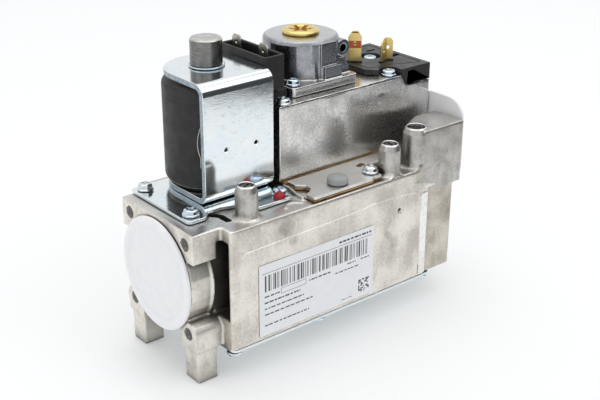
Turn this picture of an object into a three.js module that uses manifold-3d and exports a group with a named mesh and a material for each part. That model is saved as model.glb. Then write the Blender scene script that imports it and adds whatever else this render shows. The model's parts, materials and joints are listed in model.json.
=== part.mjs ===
// Combination gas control valve for a boiler, in millimetres with +Z up.
// Lengths are laid out from the inlet flange: X runs from its face towards the outlet,
// Y from its front edge towards the back, and Z up from the soles of the two feet.
import * as THREE from 'three';
import { mergeVertices } from 'three/addons/utils/BufferGeometryUtils.js';
import Module from 'manifold-3d';

const wasm = await Module();
wasm.setup();

// ---- Driving dimensions -------------------------------------------------------------

const GAP = 0.3; // air left between two pieces that touch

const PORT = { y: 26.4, z: 43.15, bore: 12.5 };
const FLANGE = { width: 52.8, top: 69.3, depth: 14, holePitch: 41.3, holeRadius: 2.5 };
const OUTLET_FACE = 149.9;
const FOOT = { x: 1.3, y: 0.9, width: 9.7, topWidth: 12.4, step: 15, capRadius: 5.8 };
const BODY = { left: 14, right: 144, front: -6.7, back: 59.5, bottom: 14.3, top: 69.3 };
const CHAMBER = { front: 8, back: 52, floor: 33, ceiling: 62 };
const RAISED_BLOCK = { left: 120.4, flank: 4.6, shoulder: 134.6, right: 148, back: 12, bottom: 56.9, top: 86.9 };
const POCKET = { left: 11.8, right: 34, front: -4.9, back: 5.5, bottom: 27.9, top: 64 };
const POSTS = [
  { x: 28.3, y: 1.5, radius: 4.85, top: 84 },
  { x: 106.3, y: -1.3, radius: 5, top: 84 },
  { x: 122.9, y: -0.75, radius: 5.9, top: 88 },
];

const COIL_AXIS = { x: 36.6, y: 39 };
const COVER = { thickness: 1.4, tubeHole: 8.2 };
const YOKE = { width: 36, front: 16.5, bottom: 71.3, top: 123.6, sheet: 2.5, bend: 5 };
const COIL = { radius: 19.3, hole: 7.5, bottom: 74.3, top: 120.6 };
const SHROUD = { left: 55, right: 65.8, front: 22.6, back: 55.4, bottom: 112, top: 127, wall: 1.4 };
const TUBE = { radius: 6.9, wall: 0.8, bottom: 69.8, top: 136, flange: 7.9 };

const VALVE_AXIS = { x: 98, y: 26.4 };
const SEAT = { radius: 8, lip: 1.6, height: 1 };
const DOME = { rim: 25, sole: 17, sheet: 1.4 };

const SERVO = { left: 58.75, right: 149.5, front: 17.9, back: 62, top: 105.8, shoulder: 130.8, stepFoot: 134, step: 100.4 };
const SLAB = { left: 70.4, right: 108.2, front: 23, back: 62, top: 110.2 };
const TURRET = { x: 91.5, y: 43.5, radius: 17.3, top: 127.5, bore: 13.2, thread: 7.8 };
const TERMINAL = { left: 117.5, right: 149.8, front: 17.9, back: 60, top: 108.6 };
const LABEL = { left: 27.8, right: 92.9, bottom: 16.2, top: 49.9, thickness: 0.2 };

const SMALL = 12; // facets round a screw or its hole
const MEDIUM = 24;
const LARGE = 32;

// ---- Levels worked out from them ----------------------------------------------------

const PLATE_BOTTOM = BODY.top + GAP;
const COVER_TOP = PLATE_BOTTOM + COVER.thickness;
const SOLE_PLATE_TOP = BODY.bottom - GAP;
const SOLE_PLATE_BOTTOM = SOLE_PLATE_TOP - DOME.sheet;
const SERVO_BOTTOM = 71.2;
const SLAB_BOTTOM = SERVO.top + GAP;
const SEAT_TOP = CHAMBER.floor + SEAT.height;

// ---- Finishes -----------------------------------------------------------------------

const finish = (color, roughness, metalness) =>
  new THREE.MeshStandardMaterial({ color, roughness, metalness });

const FINISH = {
  casting: () => finish(0xb4aea5, 0.5, 0.8),
  diecast: () => finish(0xaeb0b2, 0.35, 0.9),
  zinc: () => finish(0xc9d2d8, 0.22, 1),
  steel: () => finish(0xa9a9a6, 0.35, 1),
  brass: () => finish(0xd9b24c, 0.25, 1),
  plastic: () => finish(0x2b2b2d, 0.45, 0),
  rubber: () => finish(0xa7aaa9, 0.8, 0),
  seal: () => finish(0x1e1e1e, 0.8, 0),
  gasket: () => finish(0xb98848, 0.9, 0),
  cap: () => finish(0xececf0, 0.5, 0),
  paper: () => finish(0xf3f4f6, 0.6, 0),
};

// ---- Solids -------------------------------------------------------------------------

function toSolid(geometry) {
  const bare = geometry.clone();
  bare.deleteAttribute('normal');
  bare.deleteAttribute('uv');
  const merged = mergeVertices(bare, 1e-4);
  const mesh = new wasm.Mesh({
    numProp: 3,
    vertProperties: new Float32Array(merged.attributes.position.array),
    triVerts: new Uint32Array(merged.index.array),
  });
  return new wasm.Manifold(mesh);
}

function toGeometry(solid) {
  const mesh = solid.getMesh();
  const geometry = new THREE.BufferGeometry();
  geometry.setAttribute('position', new THREE.BufferAttribute(mesh.vertProperties, 3));
  geometry.setIndex(new THREE.BufferAttribute(mesh.triVerts, 1));
  geometry.computeVertexNormals();
  return geometry;
}

const join = (geometries) =>
  geometries.map(toSolid).reduce((whole, piece) => whole.add(piece));

const carve = (solid, geometries) =>
  geometries.map(toSolid).reduce((rest, tool) => rest.subtract(tool), solid);

/** A block between two corners. */
function block([x0, y0, z0], [x1, y1, z1]) {
  const geometry = new THREE.BoxGeometry(x1 - x0, y1 - y0, z1 - z0);
  return geometry.translate((x0 + x1) / 2, (y0 + y1) / 2, (z0 + z1) / 2);
}

/** An upright rod between two levels. */
function rod(x, y, z0, z1, radius, facets = SMALL, topRadius = radius) {
  const geometry = new THREE.CylinderGeometry(topRadius, radius, z1 - z0, facets);
  return geometry.rotateX(Math.PI / 2).translate(x, y, (z0 + z1) / 2);
}

/** A rod lying along X. */
function rodX(y, z, x0, x1, radius, facets = MEDIUM, endRadius = radius) {
  const geometry = new THREE.CylinderGeometry(endRadius, radius, x1 - x0, facets);
  return geometry.rotateZ(-Math.PI / 2).translate((x0 + x1) / 2, y, z);
}

/** A turned piece about an upright axis, from [radius, height] pairs. */
function turned(points, facets = MEDIUM) {
  const profile = [...points, points[0]].map(([radius, height]) => new THREE.Vector2(radius, height));
  return new THREE.LatheGeometry(profile, facets).rotateX(Math.PI / 2);
}

/** A flat outline in XY raised between two levels. */
function slab(shape, z0, z1, curveSegments = 5) {
  const geometry = new THREE.ExtrudeGeometry(shape, { depth: z1 - z0, bevelEnabled: false, curveSegments });
  return geometry.translate(0, 0, z0);
}

function polygon(points) {
  return new THREE.Shape(points.map(([x, y]) => new THREE.Vector2(x, y)));
}

function roundedRectangle(x0, y0, x1, y1, radius) {
  const shape = new THREE.Shape();
  shape.moveTo(x0 + radius, y0);
  shape.lineTo(x1 - radius, y0);
  shape.absarc(x1 - radius, y0 + radius, radius, -Math.PI / 2, 0);
  shape.lineTo(x1, y1 - radius);
  shape.absarc(x1 - radius, y1 - radius, radius, 0, Math.PI / 2);
  shape.lineTo(x0 + radius, y1);
  shape.absarc(x0 + radius, y1 - radius, radius, Math.PI / 2, Math.PI);
  shape.lineTo(x0, y0 + radius);
  shape.absarc(x0 + radius, y0 + radius, radius, Math.PI, 1.5 * Math.PI);
  return shape;
}

/** A coil spring about an upright axis, closed at both ends of the wire. */
function spring(radius, wire, z0, z1, turns) {
  const stepsPerTurn = 9;
  const points = [];
  for (let i = 0; i <= turns * stepsPerTurn; i += 1) {
    const angle = (2 * Math.PI * i) / stepsPerTurn;
    const height = z0 + wire + ((z1 - z0 - 2 * wire) * i) / (turns * stepsPerTurn);
    points.push(new THREE.Vector3(radius * Math.cos(angle), radius * Math.sin(angle), height));
  }
  const sides = 5;
  const section = polygon(
    Array.from({ length: sides }, (_, i) => [
      wire * Math.cos((2 * i * Math.PI) / sides),
      wire * Math.sin((2 * i * Math.PI) / sides),
    ]),
  );
  return new THREE.ExtrudeGeometry(section, {
    steps: turns * stepsPerTurn,
    bevelEnabled: false,
    extrudePath: new THREE.CatmullRomCurve3(points),
  });
}

// ---- The scene ----------------------------------------------------------------------

const valve = new THREE.Group();

function place(name, shape, material, x = 0, y = 0, z = 0) {
  const geometry = shape.isBufferGeometry ? shape : toGeometry(shape);
  const mesh = new THREE.Mesh(geometry, material);
  mesh.name = name;
  mesh.position.set(x, y, z);
  valve.add(mesh);
  return mesh;
}

/** A pan-head screw. Its head rests on z = 0 of its own mesh. */
function screwSolid(headRadius, headHeight, shankRadius, shankLength) {
  const profile = [
    [0, -shankLength],
    [shankRadius, -shankLength],
    [shankRadius, 0],
    [headRadius, 0],
    [headRadius, 0.55 * headHeight],
    [0.78 * headRadius, headHeight],
    [0, headHeight],
  ];
  return turned(profile, SMALL);
}

// ---- Where the screws go ------------------------------------------------------------

const M4 = { head: 3.6, height: 2.9, shank: 1.7, hole: 2.1 };
const COVER_SCREWS = [
  [9.6, 14.4],
  [9.6, 49],
  [51.2, 8.2],
  [51.8, 55.2],
];
const SERVO_SCREWS = [
  [63.2, 20.9],
  [126.6, 21.9],
  [63.2, 57.5],
  [112.6, 57.5],
];
const SLAB_SCREWS = [
  [74, 27.2],
  [105, 59.2],
];
const SOLE_SCREWS = [
  [17.5, -2.9],
  [63.5, -2.9],
  [127.6, -2.9],
  [17.5, 55.7],
  [127.6, 55.7],
];
const SIDE_SCREW = [96.6, 0.6];
const TERMINAL_SCREW = [134.9, 43.6];

// ---- Main body casting --------------------------------------------------------------

/** The four corner holes of a flange, as tools that reach `depth` into it from `face`. */
function flangeHoles(face, depth) {
  const half = FLANGE.holePitch / 2;
  const into = Math.sign(depth);
  return [-half, half].flatMap((dy) =>
    [-half, half].flatMap((dz) => {
      const ends = [face - into, face + depth].sort((a, b) => a - b);
      const mouth = [face - into * 0.5, face + into * 0.5].sort((a, b) => a - b);
      return [
        rodX(PORT.y + dy, PORT.z + dz, ends[0], ends[1], FLANGE.holeRadius, SMALL),
        rodX(PORT.y + dy, PORT.z + dz, mouth[0], mouth[1], FLANGE.holeRadius + 0.45, SMALL),
      ];
    }),
  );
}

/** A flange's arms, hub and lower bosses between two planes across X. */
function flangeLumps(x0, x1) {
  const half = FLANGE.holePitch / 2;
  return [
    block([x0, 0, 56.5], [x1, FLANGE.width, FLANGE.top]),
    rodX(PORT.y, PORT.z, x0, x1, 24.6, LARGE),
    rodX(PORT.y - half, PORT.z - half, x0, x1, FOOT.capRadius, 16),
    rodX(PORT.y + half, PORT.z - half, x0, x1, FOOT.capRadius, 16),
  ];
}

function feet() {
  const lumps = [];
  for (const mirrored of [false, true]) {
    const across = (y) => (mirrored ? FLANGE.width - y : y);
    const span = (y0, y1) => [across(y0), across(y1)].sort((a, b) => a - b);
    const [low, high] = span(FOOT.y, FOOT.y + FOOT.width);
    const [topLow, topHigh] = span(0.3, 0.3 + FOOT.topWidth - 0.8);
    lumps.push(block([FOOT.x, low, 0], [FOOT.x + FOOT.width, high, FOOT.step + 1]));
    lumps.push(block([0.4, topLow, FOOT.step], [FLANGE.depth + 1, topHigh, PORT.z - FLANGE.holePitch / 2]));
  }
  return lumps;
}

function post({ x, y, radius, top }) {
  const rim = radius - 0.95;
  const profile = [
    [0, BODY.top - 4],
    [radius + 1.4, BODY.top - 4],
    [radius + 1.4, BODY.top + 0.05],
    [radius + 0.3, BODY.top + 0.7],
    [radius, BODY.top + 2],
    [radius, top - 2.6],
    [rim, top - 0.6],
    [rim - 0.4, top],
    [0, top],
  ];
  return turned(profile, 16).translate(x, y, 0);
}

/** The posts' flared feet end flush with the body's front face. */
const frontLimit = block([0, BODY.front, 0], [OUTLET_FACE, BODY.back, RAISED_BLOCK.top + 5]);
const posts = join(POSTS.map(post)).intersect(toSolid(frontLimit));

const bodyFloor = slab(
  roundedRectangle(BODY.left, BODY.front, BODY.right, BODY.back, 1.2),
  BODY.bottom,
  BODY.top,
  3,
);
const sideRib = block([122.4, BODY.front - 0.5, 21], [126.3, BODY.front + 1, 56]);
const archRib = slab(
  polygon([
    [56.9, 0.2],
    [58.3, 0.2],
    [58.9, 6],
    [60.6, 12],
    [60.6, 17.2],
    [59, 17.2],
    [58.8, 12.4],
    [57.3, 6.2],
  ]),
  BODY.top - 1,
  BODY.top + 1.5,
);

/** The raised block, whose slanting left side runs out of the third post. */
const raisedBlock = slab(
  polygon([
    [POSTS[2].x, BODY.front],
    [RAISED_BLOCK.right, BODY.front],
    [RAISED_BLOCK.right, RAISED_BLOCK.back],
    [RAISED_BLOCK.shoulder, RAISED_BLOCK.back],
    [RAISED_BLOCK.left, RAISED_BLOCK.flank],
  ]),
  RAISED_BLOCK.bottom,
  RAISED_BLOCK.top,
);

const bodyOutside = join([
  bodyFloor,
  ...flangeLumps(0, FLANGE.depth + 1),
  ...flangeLumps(BODY.right - 5, OUTLET_FACE),
  ...feet(),
  raisedBlock,
  sideRib,
  archRib,
]).add(posts);

const inletSide = [
  rodX(PORT.y, PORT.z, -1, 22, PORT.bore),
  block([20, CHAMBER.front, CHAMBER.floor], [58, CHAMBER.back, CHAMBER.ceiling]),
  rod(COIL_AXIS.x, COIL_AXIS.y, CHAMBER.ceiling - 1, BODY.top + 1, 13, MEDIUM),
  block([POCKET.left, POCKET.front, POCKET.bottom], [POCKET.right, POCKET.back, POCKET.top]),
];
const outletSide = [
  block([82, CHAMBER.front, CHAMBER.floor], [132, 48, CHAMBER.ceiling]),
  rodX(PORT.y, PORT.z, 130, OUTLET_FACE + 1, PORT.bore),
];
const underside = [
  block([20, CHAMBER.front, BODY.bottom - 1], [84, CHAMBER.back, 27]),
  rod(VALVE_AXIS.x, VALVE_AXIS.y, BODY.bottom - 1, 27, 21, LARGE),
  rod(COIL_AXIS.x, COIL_AXIS.y, 26, CHAMBER.floor + 1, SEAT.radius, MEDIUM),
  rod(VALVE_AXIS.x, VALVE_AXIS.y, 26, CHAMBER.floor + 1, SEAT.radius, MEDIUM),
];
const screwHoles = [
  ...COVER_SCREWS.map(([x, y]) => rod(x, y, BODY.top - 9, BODY.top + 1, M4.hole, 8)),
  ...SERVO_SCREWS.slice(2).map(([x, y]) => rod(x, y, BODY.top - 6, BODY.top + 1, M4.hole, 8)),
  ...SOLE_SCREWS.map(([x, y]) => rod(x, y, BODY.bottom - 1, BODY.bottom + 6, M4.hole, 8)),
  rod(...SIDE_SCREW, BODY.top - 6, BODY.top + 1, M4.hole, 8),
];
const testBores = POSTS.flatMap(({ x, y, radius, top }) => [
  rod(x, y, top - 14, top + 1, 2.2, SMALL),
  rod(x, y, top - 1.4, top + 1, radius - 1.9, SMALL),
]);
const sealGroove = carve(toSolid(rod(...Object.values(COIL_AXIS), BODY.top - 1.2, BODY.top + 1, 17.2, LARGE)), [
  rod(...Object.values(COIL_AXIS), BODY.top - 2, BODY.top + 2, 14.6, LARGE),
]);

const seatLip = ({ x, y }) =>
  turned([
    [SEAT.radius, CHAMBER.floor - 1],
    [SEAT.radius + SEAT.lip, CHAMBER.floor - 1],
    [SEAT.radius + SEAT.lip, SEAT_TOP - 0.4],
    [SEAT.radius + 0.6, SEAT_TOP],
    [SEAT.radius, SEAT_TOP],
  ]).translate(x, y, 0);

const mainBody = carve(bodyOutside, [
  ...inletSide,
  ...outletSide,
  ...underside,
  ...flangeHoles(0, 11),
  ...flangeHoles(OUTLET_FACE, -9),
  ...screwHoles,
  ...testBores,
])
  .subtract(sealGroove)
  .add(toSolid(seatLip(COIL_AXIS)))
  .add(toSolid(seatLip(VALVE_AXIS)));
place('main_body', mainBody, FINISH.casting());

// ---- Port caps and strainer ---------------------------------------------------------

function dustCapProfile() {
  return turned(
    [
      [0, 0.3],
      [11.2, 0.3],
      [11.2, 7],
      [12.1, 7],
      [12.1, 0.3],
      [25.1, 0.3],
      [25.1, 1.4],
      [24.2, 2],
      [21.8, 2],
      [21.2, 1.6],
      [0, 1.6],
    ].map(([radius, height]) => [radius, height === 7 ? -7 : height]),
    LARGE,
  );
}

const inletCap = dustCapProfile().rotateY(-Math.PI / 2);
place('inlet_dust_cap', inletCap, FINISH.cap(), 0, PORT.y, PORT.z);

const PULL_TAB = { front: -4, back: 26, top: 94.6, corner: 10 };
const pullTab = slab(
  roundedRectangle(
    PULL_TAB.front - PORT.y,
    10,
    PULL_TAB.back - PORT.y,
    PULL_TAB.top - PORT.z,
    PULL_TAB.corner,
  ),
  GAP,
  1.6,
).rotateX(Math.PI / 2).rotateZ(Math.PI / 2);
const outletCap = toSolid(dustCapProfile().rotateY(Math.PI / 2)).add(toSolid(pullTab));
place('outlet_dust_cap', outletCap, FINISH.cap(), OUTLET_FACE, PORT.y, PORT.z);

const strainer = turned([
  [11, 0],
  [12, 0],
  [12, 13],
  [0, 13],
  [0, 12],
  [11, 12],
]).rotateY(Math.PI / 2);
place('inlet_strainer', strainer, FINISH.steel(), 8.5, PORT.y, PORT.z);

// ---- First valve: cover plate, coil and armature ------------------------------------

const coverOutline = polygon([
  [4.8, 9.3],
  [13.4, 9.3],
  [16.6, 12],
  [20, 13.6],
  [24, 13.6],
  [33.4, 10.4],
  [36, 3.3],
  [53.4, 3.3],
  [55.4, 5.6],
  [55.4, 58.8],
  [47.6, 58.8],
  [45.6, 54],
  [4.8, 54],
]);
const coverPlate = carve(toSolid(slab(coverOutline, PLATE_BOTTOM, COVER_TOP)), [
  rod(...Object.values(COIL_AXIS), PLATE_BOTTOM - 1, COVER_TOP + 1, COVER.tubeHole, MEDIUM),
  ...COVER_SCREWS.map(([x, y]) => rod(x, y, PLATE_BOTTOM - 1, COVER_TOP + 1, M4.hole, 8)),
]);
place('cover_plate', coverPlate, FINISH.zinc());

const coverSeal = turned([
  [15, BODY.top - 0.9],
  [16.8, BODY.top - 0.9],
  [16.8, BODY.top],
  [15, BODY.top],
]);
place('cover_seal', coverSeal, FINISH.seal(), COIL_AXIS.x, COIL_AXIS.y);

COVER_SCREWS.forEach(([x, y], i) => {
  place(`cover_screw_${i + 1}`, screwSolid(M4.head, M4.height, M4.shank, 8), FINISH.zinc(), x, y, COVER_TOP + GAP);
});

/** The bent sheet of the yoke, seen from its side, as a C that opens to the back. */
function yokeProfile(length) {
  const { front, bottom, top, sheet, bend } = YOKE;
  const inner = bend - sheet;
  const shape = new THREE.Shape();
  shape.moveTo(length, bottom);
  shape.lineTo(length, bottom + sheet);
  shape.lineTo(front + bend, bottom + sheet);
  shape.absarc(front + bend, bottom + bend, inner, -Math.PI / 2, -Math.PI, true);
  shape.lineTo(front + sheet, top - bend);
  shape.absarc(front + bend, top - bend, inner, Math.PI, Math.PI / 2, true);
  shape.lineTo(length, top - sheet);
  shape.lineTo(length, top);
  shape.lineTo(front + bend, top);
  shape.absarc(front + bend, top - bend, bend, Math.PI / 2, Math.PI);
  shape.lineTo(front, bottom + bend);
  shape.absarc(front + bend, bottom + bend, bend, Math.PI, 1.5 * Math.PI);
  return shape;
}

const yokeBack = COIL_AXIS.y + YOKE.width / 2;
const yokeSheet = new THREE.ExtrudeGeometry(yokeProfile(yokeBack + 1), {
  depth: YOKE.width,
  bevelEnabled: false,
  curveSegments: 6,
})
  .rotateX(Math.PI / 2)
  .rotateZ(Math.PI / 2)
  .translate(COIL_AXIS.x - YOKE.width / 2, 0, 0);
const yokePlan = new THREE.Shape();
yokePlan.moveTo(COIL_AXIS.x - YOKE.width / 2, YOKE.front - 1);
yokePlan.lineTo(COIL_AXIS.x + YOKE.width / 2, YOKE.front - 1);
yokePlan.lineTo(COIL_AXIS.x + YOKE.width / 2, COIL_AXIS.y);
yokePlan.absarc(COIL_AXIS.x, COIL_AXIS.y, YOKE.width / 2, 0, Math.PI);
const yokeCutter = toSolid(slab(yokePlan, YOKE.bottom - 1, YOKE.top + 1, 16));
const yokeHole = ([x, z]) =>
  new THREE.CylinderGeometry(0.9, 0.9, 8, 10).translate(x, YOKE.front, z);
const coilYoke = carve(toSolid(yokeSheet).intersect(yokeCutter), [
  rod(...Object.values(COIL_AXIS), YOKE.bottom - 1, YOKE.top + 1, TUBE.radius + GAP, MEDIUM),
  ...[
    [29.8, 94],
    [45.3, 93.7],
  ].map(yokeHole),
]);
place('coil_yoke', coilYoke, FINISH.zinc());

const coilDrum = turned(
  [
    [COIL.hole, COIL.bottom],
    [15.5, COIL.bottom],
    [15.5, COIL.bottom + 2.2],
    [COIL.radius, COIL.bottom + 2.6],
    [COIL.radius, COIL.top - 4],
    [COIL.radius - 0.8, COIL.top - 1.8],
    [COIL.radius - 2.6, COIL.top],
    [COIL.hole, COIL.top],
  ],
  LARGE,
).translate(COIL_AXIS.x, COIL_AXIS.y, 0);
const coilBody = carve(
  join([
    coilDrum,
    block([50, 26, COIL.bottom + 4.4], [SERVO.left - GAP - 0.2, 52, COIL.top]),
    block([SHROUD.left, SHROUD.front, SHROUD.bottom], [SHROUD.right, SHROUD.back, SHROUD.top]),
  ]),
  [
    block(
      [SHROUD.left + SHROUD.wall, SHROUD.front + SHROUD.wall, SHROUD.bottom + 3],
      [SHROUD.right - SHROUD.wall, SHROUD.back - SHROUD.wall, SHROUD.top + 1],
    ),
    rod(...Object.values(COIL_AXIS), COIL.bottom - 1, COIL.top + 1, COIL.hole, LARGE),
  ],
);
place('coil', coilBody, FINISH.plastic());

/** A flat push-on blade, upright, with clipped shoulders and a hole near its tip. */
function blade(width, height, thickness, holeHeight) {
  const half = width / 2;
  const shape = polygon([
    [-half, 0],
    [half, 0],
    [half, height - 1.4],
    [half - 1.2, height],
    [-half + 1.2, height],
    [-half, height - 1.4],
  ]);
  const hole = new THREE.Path();
  hole.absarc(0, holeHeight, 0.85, 0, 2 * Math.PI);
  shape.holes.push(hole);
  return new THREE.ExtrudeGeometry(shape, { depth: thickness, bevelEnabled: false, curveSegments: 6 })
    .translate(0, 0, -thickness / 2)
    .rotateX(Math.PI / 2);
}

const BLADE = { width: 6.3, thickness: 0.8 };
[30.8, 49.8].forEach((y, i) => {
  const spade = place(
    `coil_blade_${i + 1}`,
    blade(BLADE.width, 15.3, BLADE.thickness, 12.2),
    FINISH.zinc(),
    60.6,
    y,
    SHROUD.bottom + 3 + GAP,
  );
  spade.rotation.z = Math.PI / 2;
});

const tubeWall = TUBE.radius - TUBE.wall;
const armatureTube = turned([
  [tubeWall, TUBE.bottom],
  [TUBE.flange, TUBE.bottom],
  [TUBE.flange, COVER_TOP],
  [TUBE.radius, COVER_TOP],
  [TUBE.radius, TUBE.top - 0.8],
  [tubeWall, TUBE.top],
  [0, TUBE.top],
  [0, TUBE.top - TUBE.wall],
  [tubeWall, TUBE.top - TUBE.wall],
]);
place('armature_tube', armatureTube, FINISH.steel(), COIL_AXIS.x, COIL_AXIS.y);

const clipRing = turned([
  [TUBE.radius + 0.15, YOKE.top + GAP],
  [TUBE.radius + 0.9, YOKE.top + GAP],
  [TUBE.radius + 0.9, YOKE.top + GAP + 0.7],
  [TUBE.radius + 0.15, YOKE.top + GAP + 0.7],
]);
place('tube_clip_ring', clipRing, FINISH.zinc(), COIL_AXIS.x, COIL_AXIS.y);

const coreRadius = tubeWall - GAP;
place('fixed_core', rod(0, 0, 113, TUBE.top - TUBE.wall - GAP, coreRadius, MEDIUM), FINISH.steel(), COIL_AXIS.x, COIL_AXIS.y);

const armature = turned([
  [0, SEAT_TOP + 4.9],
  [3, SEAT_TOP + 4.9],
  [3, 62],
  [coreRadius, 62],
  [coreRadius, 107.6],
  [0, 107.6],
]);
place('armature', armature, FINISH.steel(), COIL_AXIS.x, COIL_AXIS.y);

const valveDisc = turned([
  [0, SEAT_TOP + 2.1],
  [11, SEAT_TOP + 2.1],
  [11, SEAT_TOP + 3.6],
  [5, SEAT_TOP + 4.6],
  [0, SEAT_TOP + 4.6],
]);
const discSeal = turned([
  [0, SEAT_TOP + GAP],
  [10.6, SEAT_TOP + GAP],
  [10.6, SEAT_TOP + 1.8],
  [0, SEAT_TOP + 1.8],
]);
place('first_valve_disc', valveDisc, FINISH.diecast(), COIL_AXIS.x, COIL_AXIS.y);
place('first_valve_seal', discSeal, FINISH.seal(), COIL_AXIS.x, COIL_AXIS.y);
place('armature_spring', spring(8.6, 0.45, SEAT_TOP + 5, PLATE_BOTTOM - GAP, 5), FINISH.steel(), COIL_AXIS.x, COIL_AXIS.y);

// ---- Second valve: disc, stem, spring and diaphragm ---------------------------------

place('second_valve_disc', valveDisc.clone(), FINISH.diecast(), VALVE_AXIS.x, VALVE_AXIS.y);
const ringSeal = turned([
  [2.9, SEAT_TOP + GAP],
  [10.6, SEAT_TOP + GAP],
  [10.6, SEAT_TOP + 1.8],
  [2.9, SEAT_TOP + 1.8],
]);
place('second_valve_seal', ringSeal, FINISH.seal(), VALVE_AXIS.x, VALVE_AXIS.y);
const diaphragmLevel = 8;
const valveStem = turned([
  [0, diaphragmLevel + 1.8],
  [12, diaphragmLevel + 1.8],
  [12, diaphragmLevel + 3],
  [2.6, diaphragmLevel + 3.6],
  [2.6, SEAT_TOP + 1.8],
  [0, SEAT_TOP + 1.8],
]);
place('valve_stem', valveStem, FINISH.diecast(), VALVE_AXIS.x, VALVE_AXIS.y);
place('valve_spring', spring(8.2, 0.5, SEAT_TOP + 5, CHAMBER.ceiling - GAP, 4), FINISH.steel(), VALVE_AXIS.x, VALVE_AXIS.y);

const diaphragm = turned([
  [0, diaphragmLevel + 0.5],
  [14, diaphragmLevel + 0.5],
  [16, diaphragmLevel - 1.6],
  [18, diaphragmLevel - 1.6],
  [19.6, diaphragmLevel + 1],
  [20.2, BODY.bottom + 0.6],
  [20.2, BODY.bottom + 1.7],
  [19.2, BODY.bottom + 1.7],
  [18.7, diaphragmLevel + 1.2],
  [17.6, diaphragmLevel - 0.7],
  [16.4, diaphragmLevel - 0.7],
  [14.5, diaphragmLevel + 1.5],
  [0, diaphragmLevel + 1.5],
]);
place('diaphragm', diaphragm, FINISH.seal(), VALVE_AXIS.x, VALVE_AXIS.y);

const solePlan = roundedRectangle(BODY.left + 0.6, BODY.front + 0.2, 131.5, BODY.back - 0.2, 3);
const domeOutside = turned(
  [
    [0, 0],
    [DOME.sole, 0],
    [DOME.sole + 3.6, 2.2],
    [DOME.rim - 1.2, SOLE_PLATE_BOTTOM - 2],
    [DOME.rim, SOLE_PLATE_BOTTOM + 0.5],
    [0, SOLE_PLATE_BOTTOM + 0.5],
  ],
  LARGE,
);
const domeInside = turned(
  [
    [0, DOME.sheet],
    [DOME.sole - 0.5, DOME.sheet],
    [DOME.sole + 2.3, 3.2],
    [DOME.rim - 2.7, SOLE_PLATE_BOTTOM - 1.4],
    [DOME.rim - 1.6, SOLE_PLATE_TOP + 1],
    [0, SOLE_PLATE_TOP + 1],
  ],
  LARGE,
);
const solePlate = carve(
  toSolid(slab(solePlan, SOLE_PLATE_BOTTOM, SOLE_PLATE_TOP)).add(
    toSolid(domeOutside.translate(VALVE_AXIS.x, VALVE_AXIS.y, 0)),
  ),
  [
    domeInside.translate(VALVE_AXIS.x, VALVE_AXIS.y, 0),
    ...SOLE_SCREWS.map(([x, y]) => rod(x, y, SOLE_PLATE_BOTTOM - 1, SOLE_PLATE_TOP + 1, M4.hole, 8)),
  ],
);
place('bottom_plate', solePlate, FINISH.zinc());
SOLE_SCREWS.forEach(([x, y], i) => {
  const screw = place(`bottom_screw_${i + 1}`, screwSolid(M4.head, 2.2, M4.shank, 6), FINISH.zinc(), x, y, SOLE_PLATE_BOTTOM - GAP);
  screw.rotation.x = Math.PI;
});

// ---- Servo block, its gasket and screws ---------------------------------------------

const servoProfile = polygon([
  [SERVO.left, SERVO_BOTTOM],
  [SERVO.right, SERVO_BOTTOM],
  [SERVO.right, SERVO.step],
  [SERVO.stepFoot, SERVO.step],
  [SERVO.shoulder, SERVO.top],
  [SERVO.left, SERVO.top],
]);
const servoOutside = new THREE.ExtrudeGeometry(servoProfile, {
  depth: SERVO.back - SERVO.front,
  bevelEnabled: false,
})
  .rotateX(Math.PI / 2)
  .translate(0, SERVO.back, 0);
const servoBlock = carve(toSolid(servoOutside), [
  rod(TURRET.x, TURRET.y, 99, SERVO.top + 1, 16, LARGE),
  block([80, 26, SERVO_BOTTOM - 1], [128, 54, 92]),
  ...SERVO_SCREWS.slice(0, 2).map(([x, y]) => rod(x, y, SERVO.top - 9, SERVO.top + 1, M4.hole, 8)),
  ...SERVO_SCREWS.slice(2).map(([x, y]) => rod(x, y, SERVO_BOTTOM - 1, SERVO.top + 1, M4.hole, 8)),
  ...SLAB_SCREWS.map(([x, y]) => rod(x, y, SERVO.top - 7, SERVO.top + 1, M4.hole, 8)),
  rod(...TERMINAL_SCREW, SERVO.step - 8, SERVO.top, M4.hole, 8),
]);
place('servo_block', servoBlock, FINISH.diecast());

const servoGasket = carve(toSolid(block([61, 16.9, PLATE_BOTTOM], [118.2, SERVO.back - 2.6, SERVO_BOTTOM - GAP])), [
  block([80, 26, PLATE_BOTTOM - 1], [112, 52, SERVO_BOTTOM + 1]),
  ...SERVO_SCREWS.slice(2).map(([x, y]) => rod(x, y, PLATE_BOTTOM - 1, SERVO_BOTTOM + 1, M4.hole, 8)),
]);
place('servo_gasket', servoGasket, FINISH.gasket());
SERVO_SCREWS.forEach(([x, y], i) => {
  const length = i < 2 ? 8 : SERVO.top - BODY.top + 5;
  place(`servo_screw_${i + 1}`, screwSolid(M4.head, 2.4, M4.shank, length), FINISH.zinc(), x, y, SERVO.top + GAP);
});

// ---- Pressure regulator -------------------------------------------------------------

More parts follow.
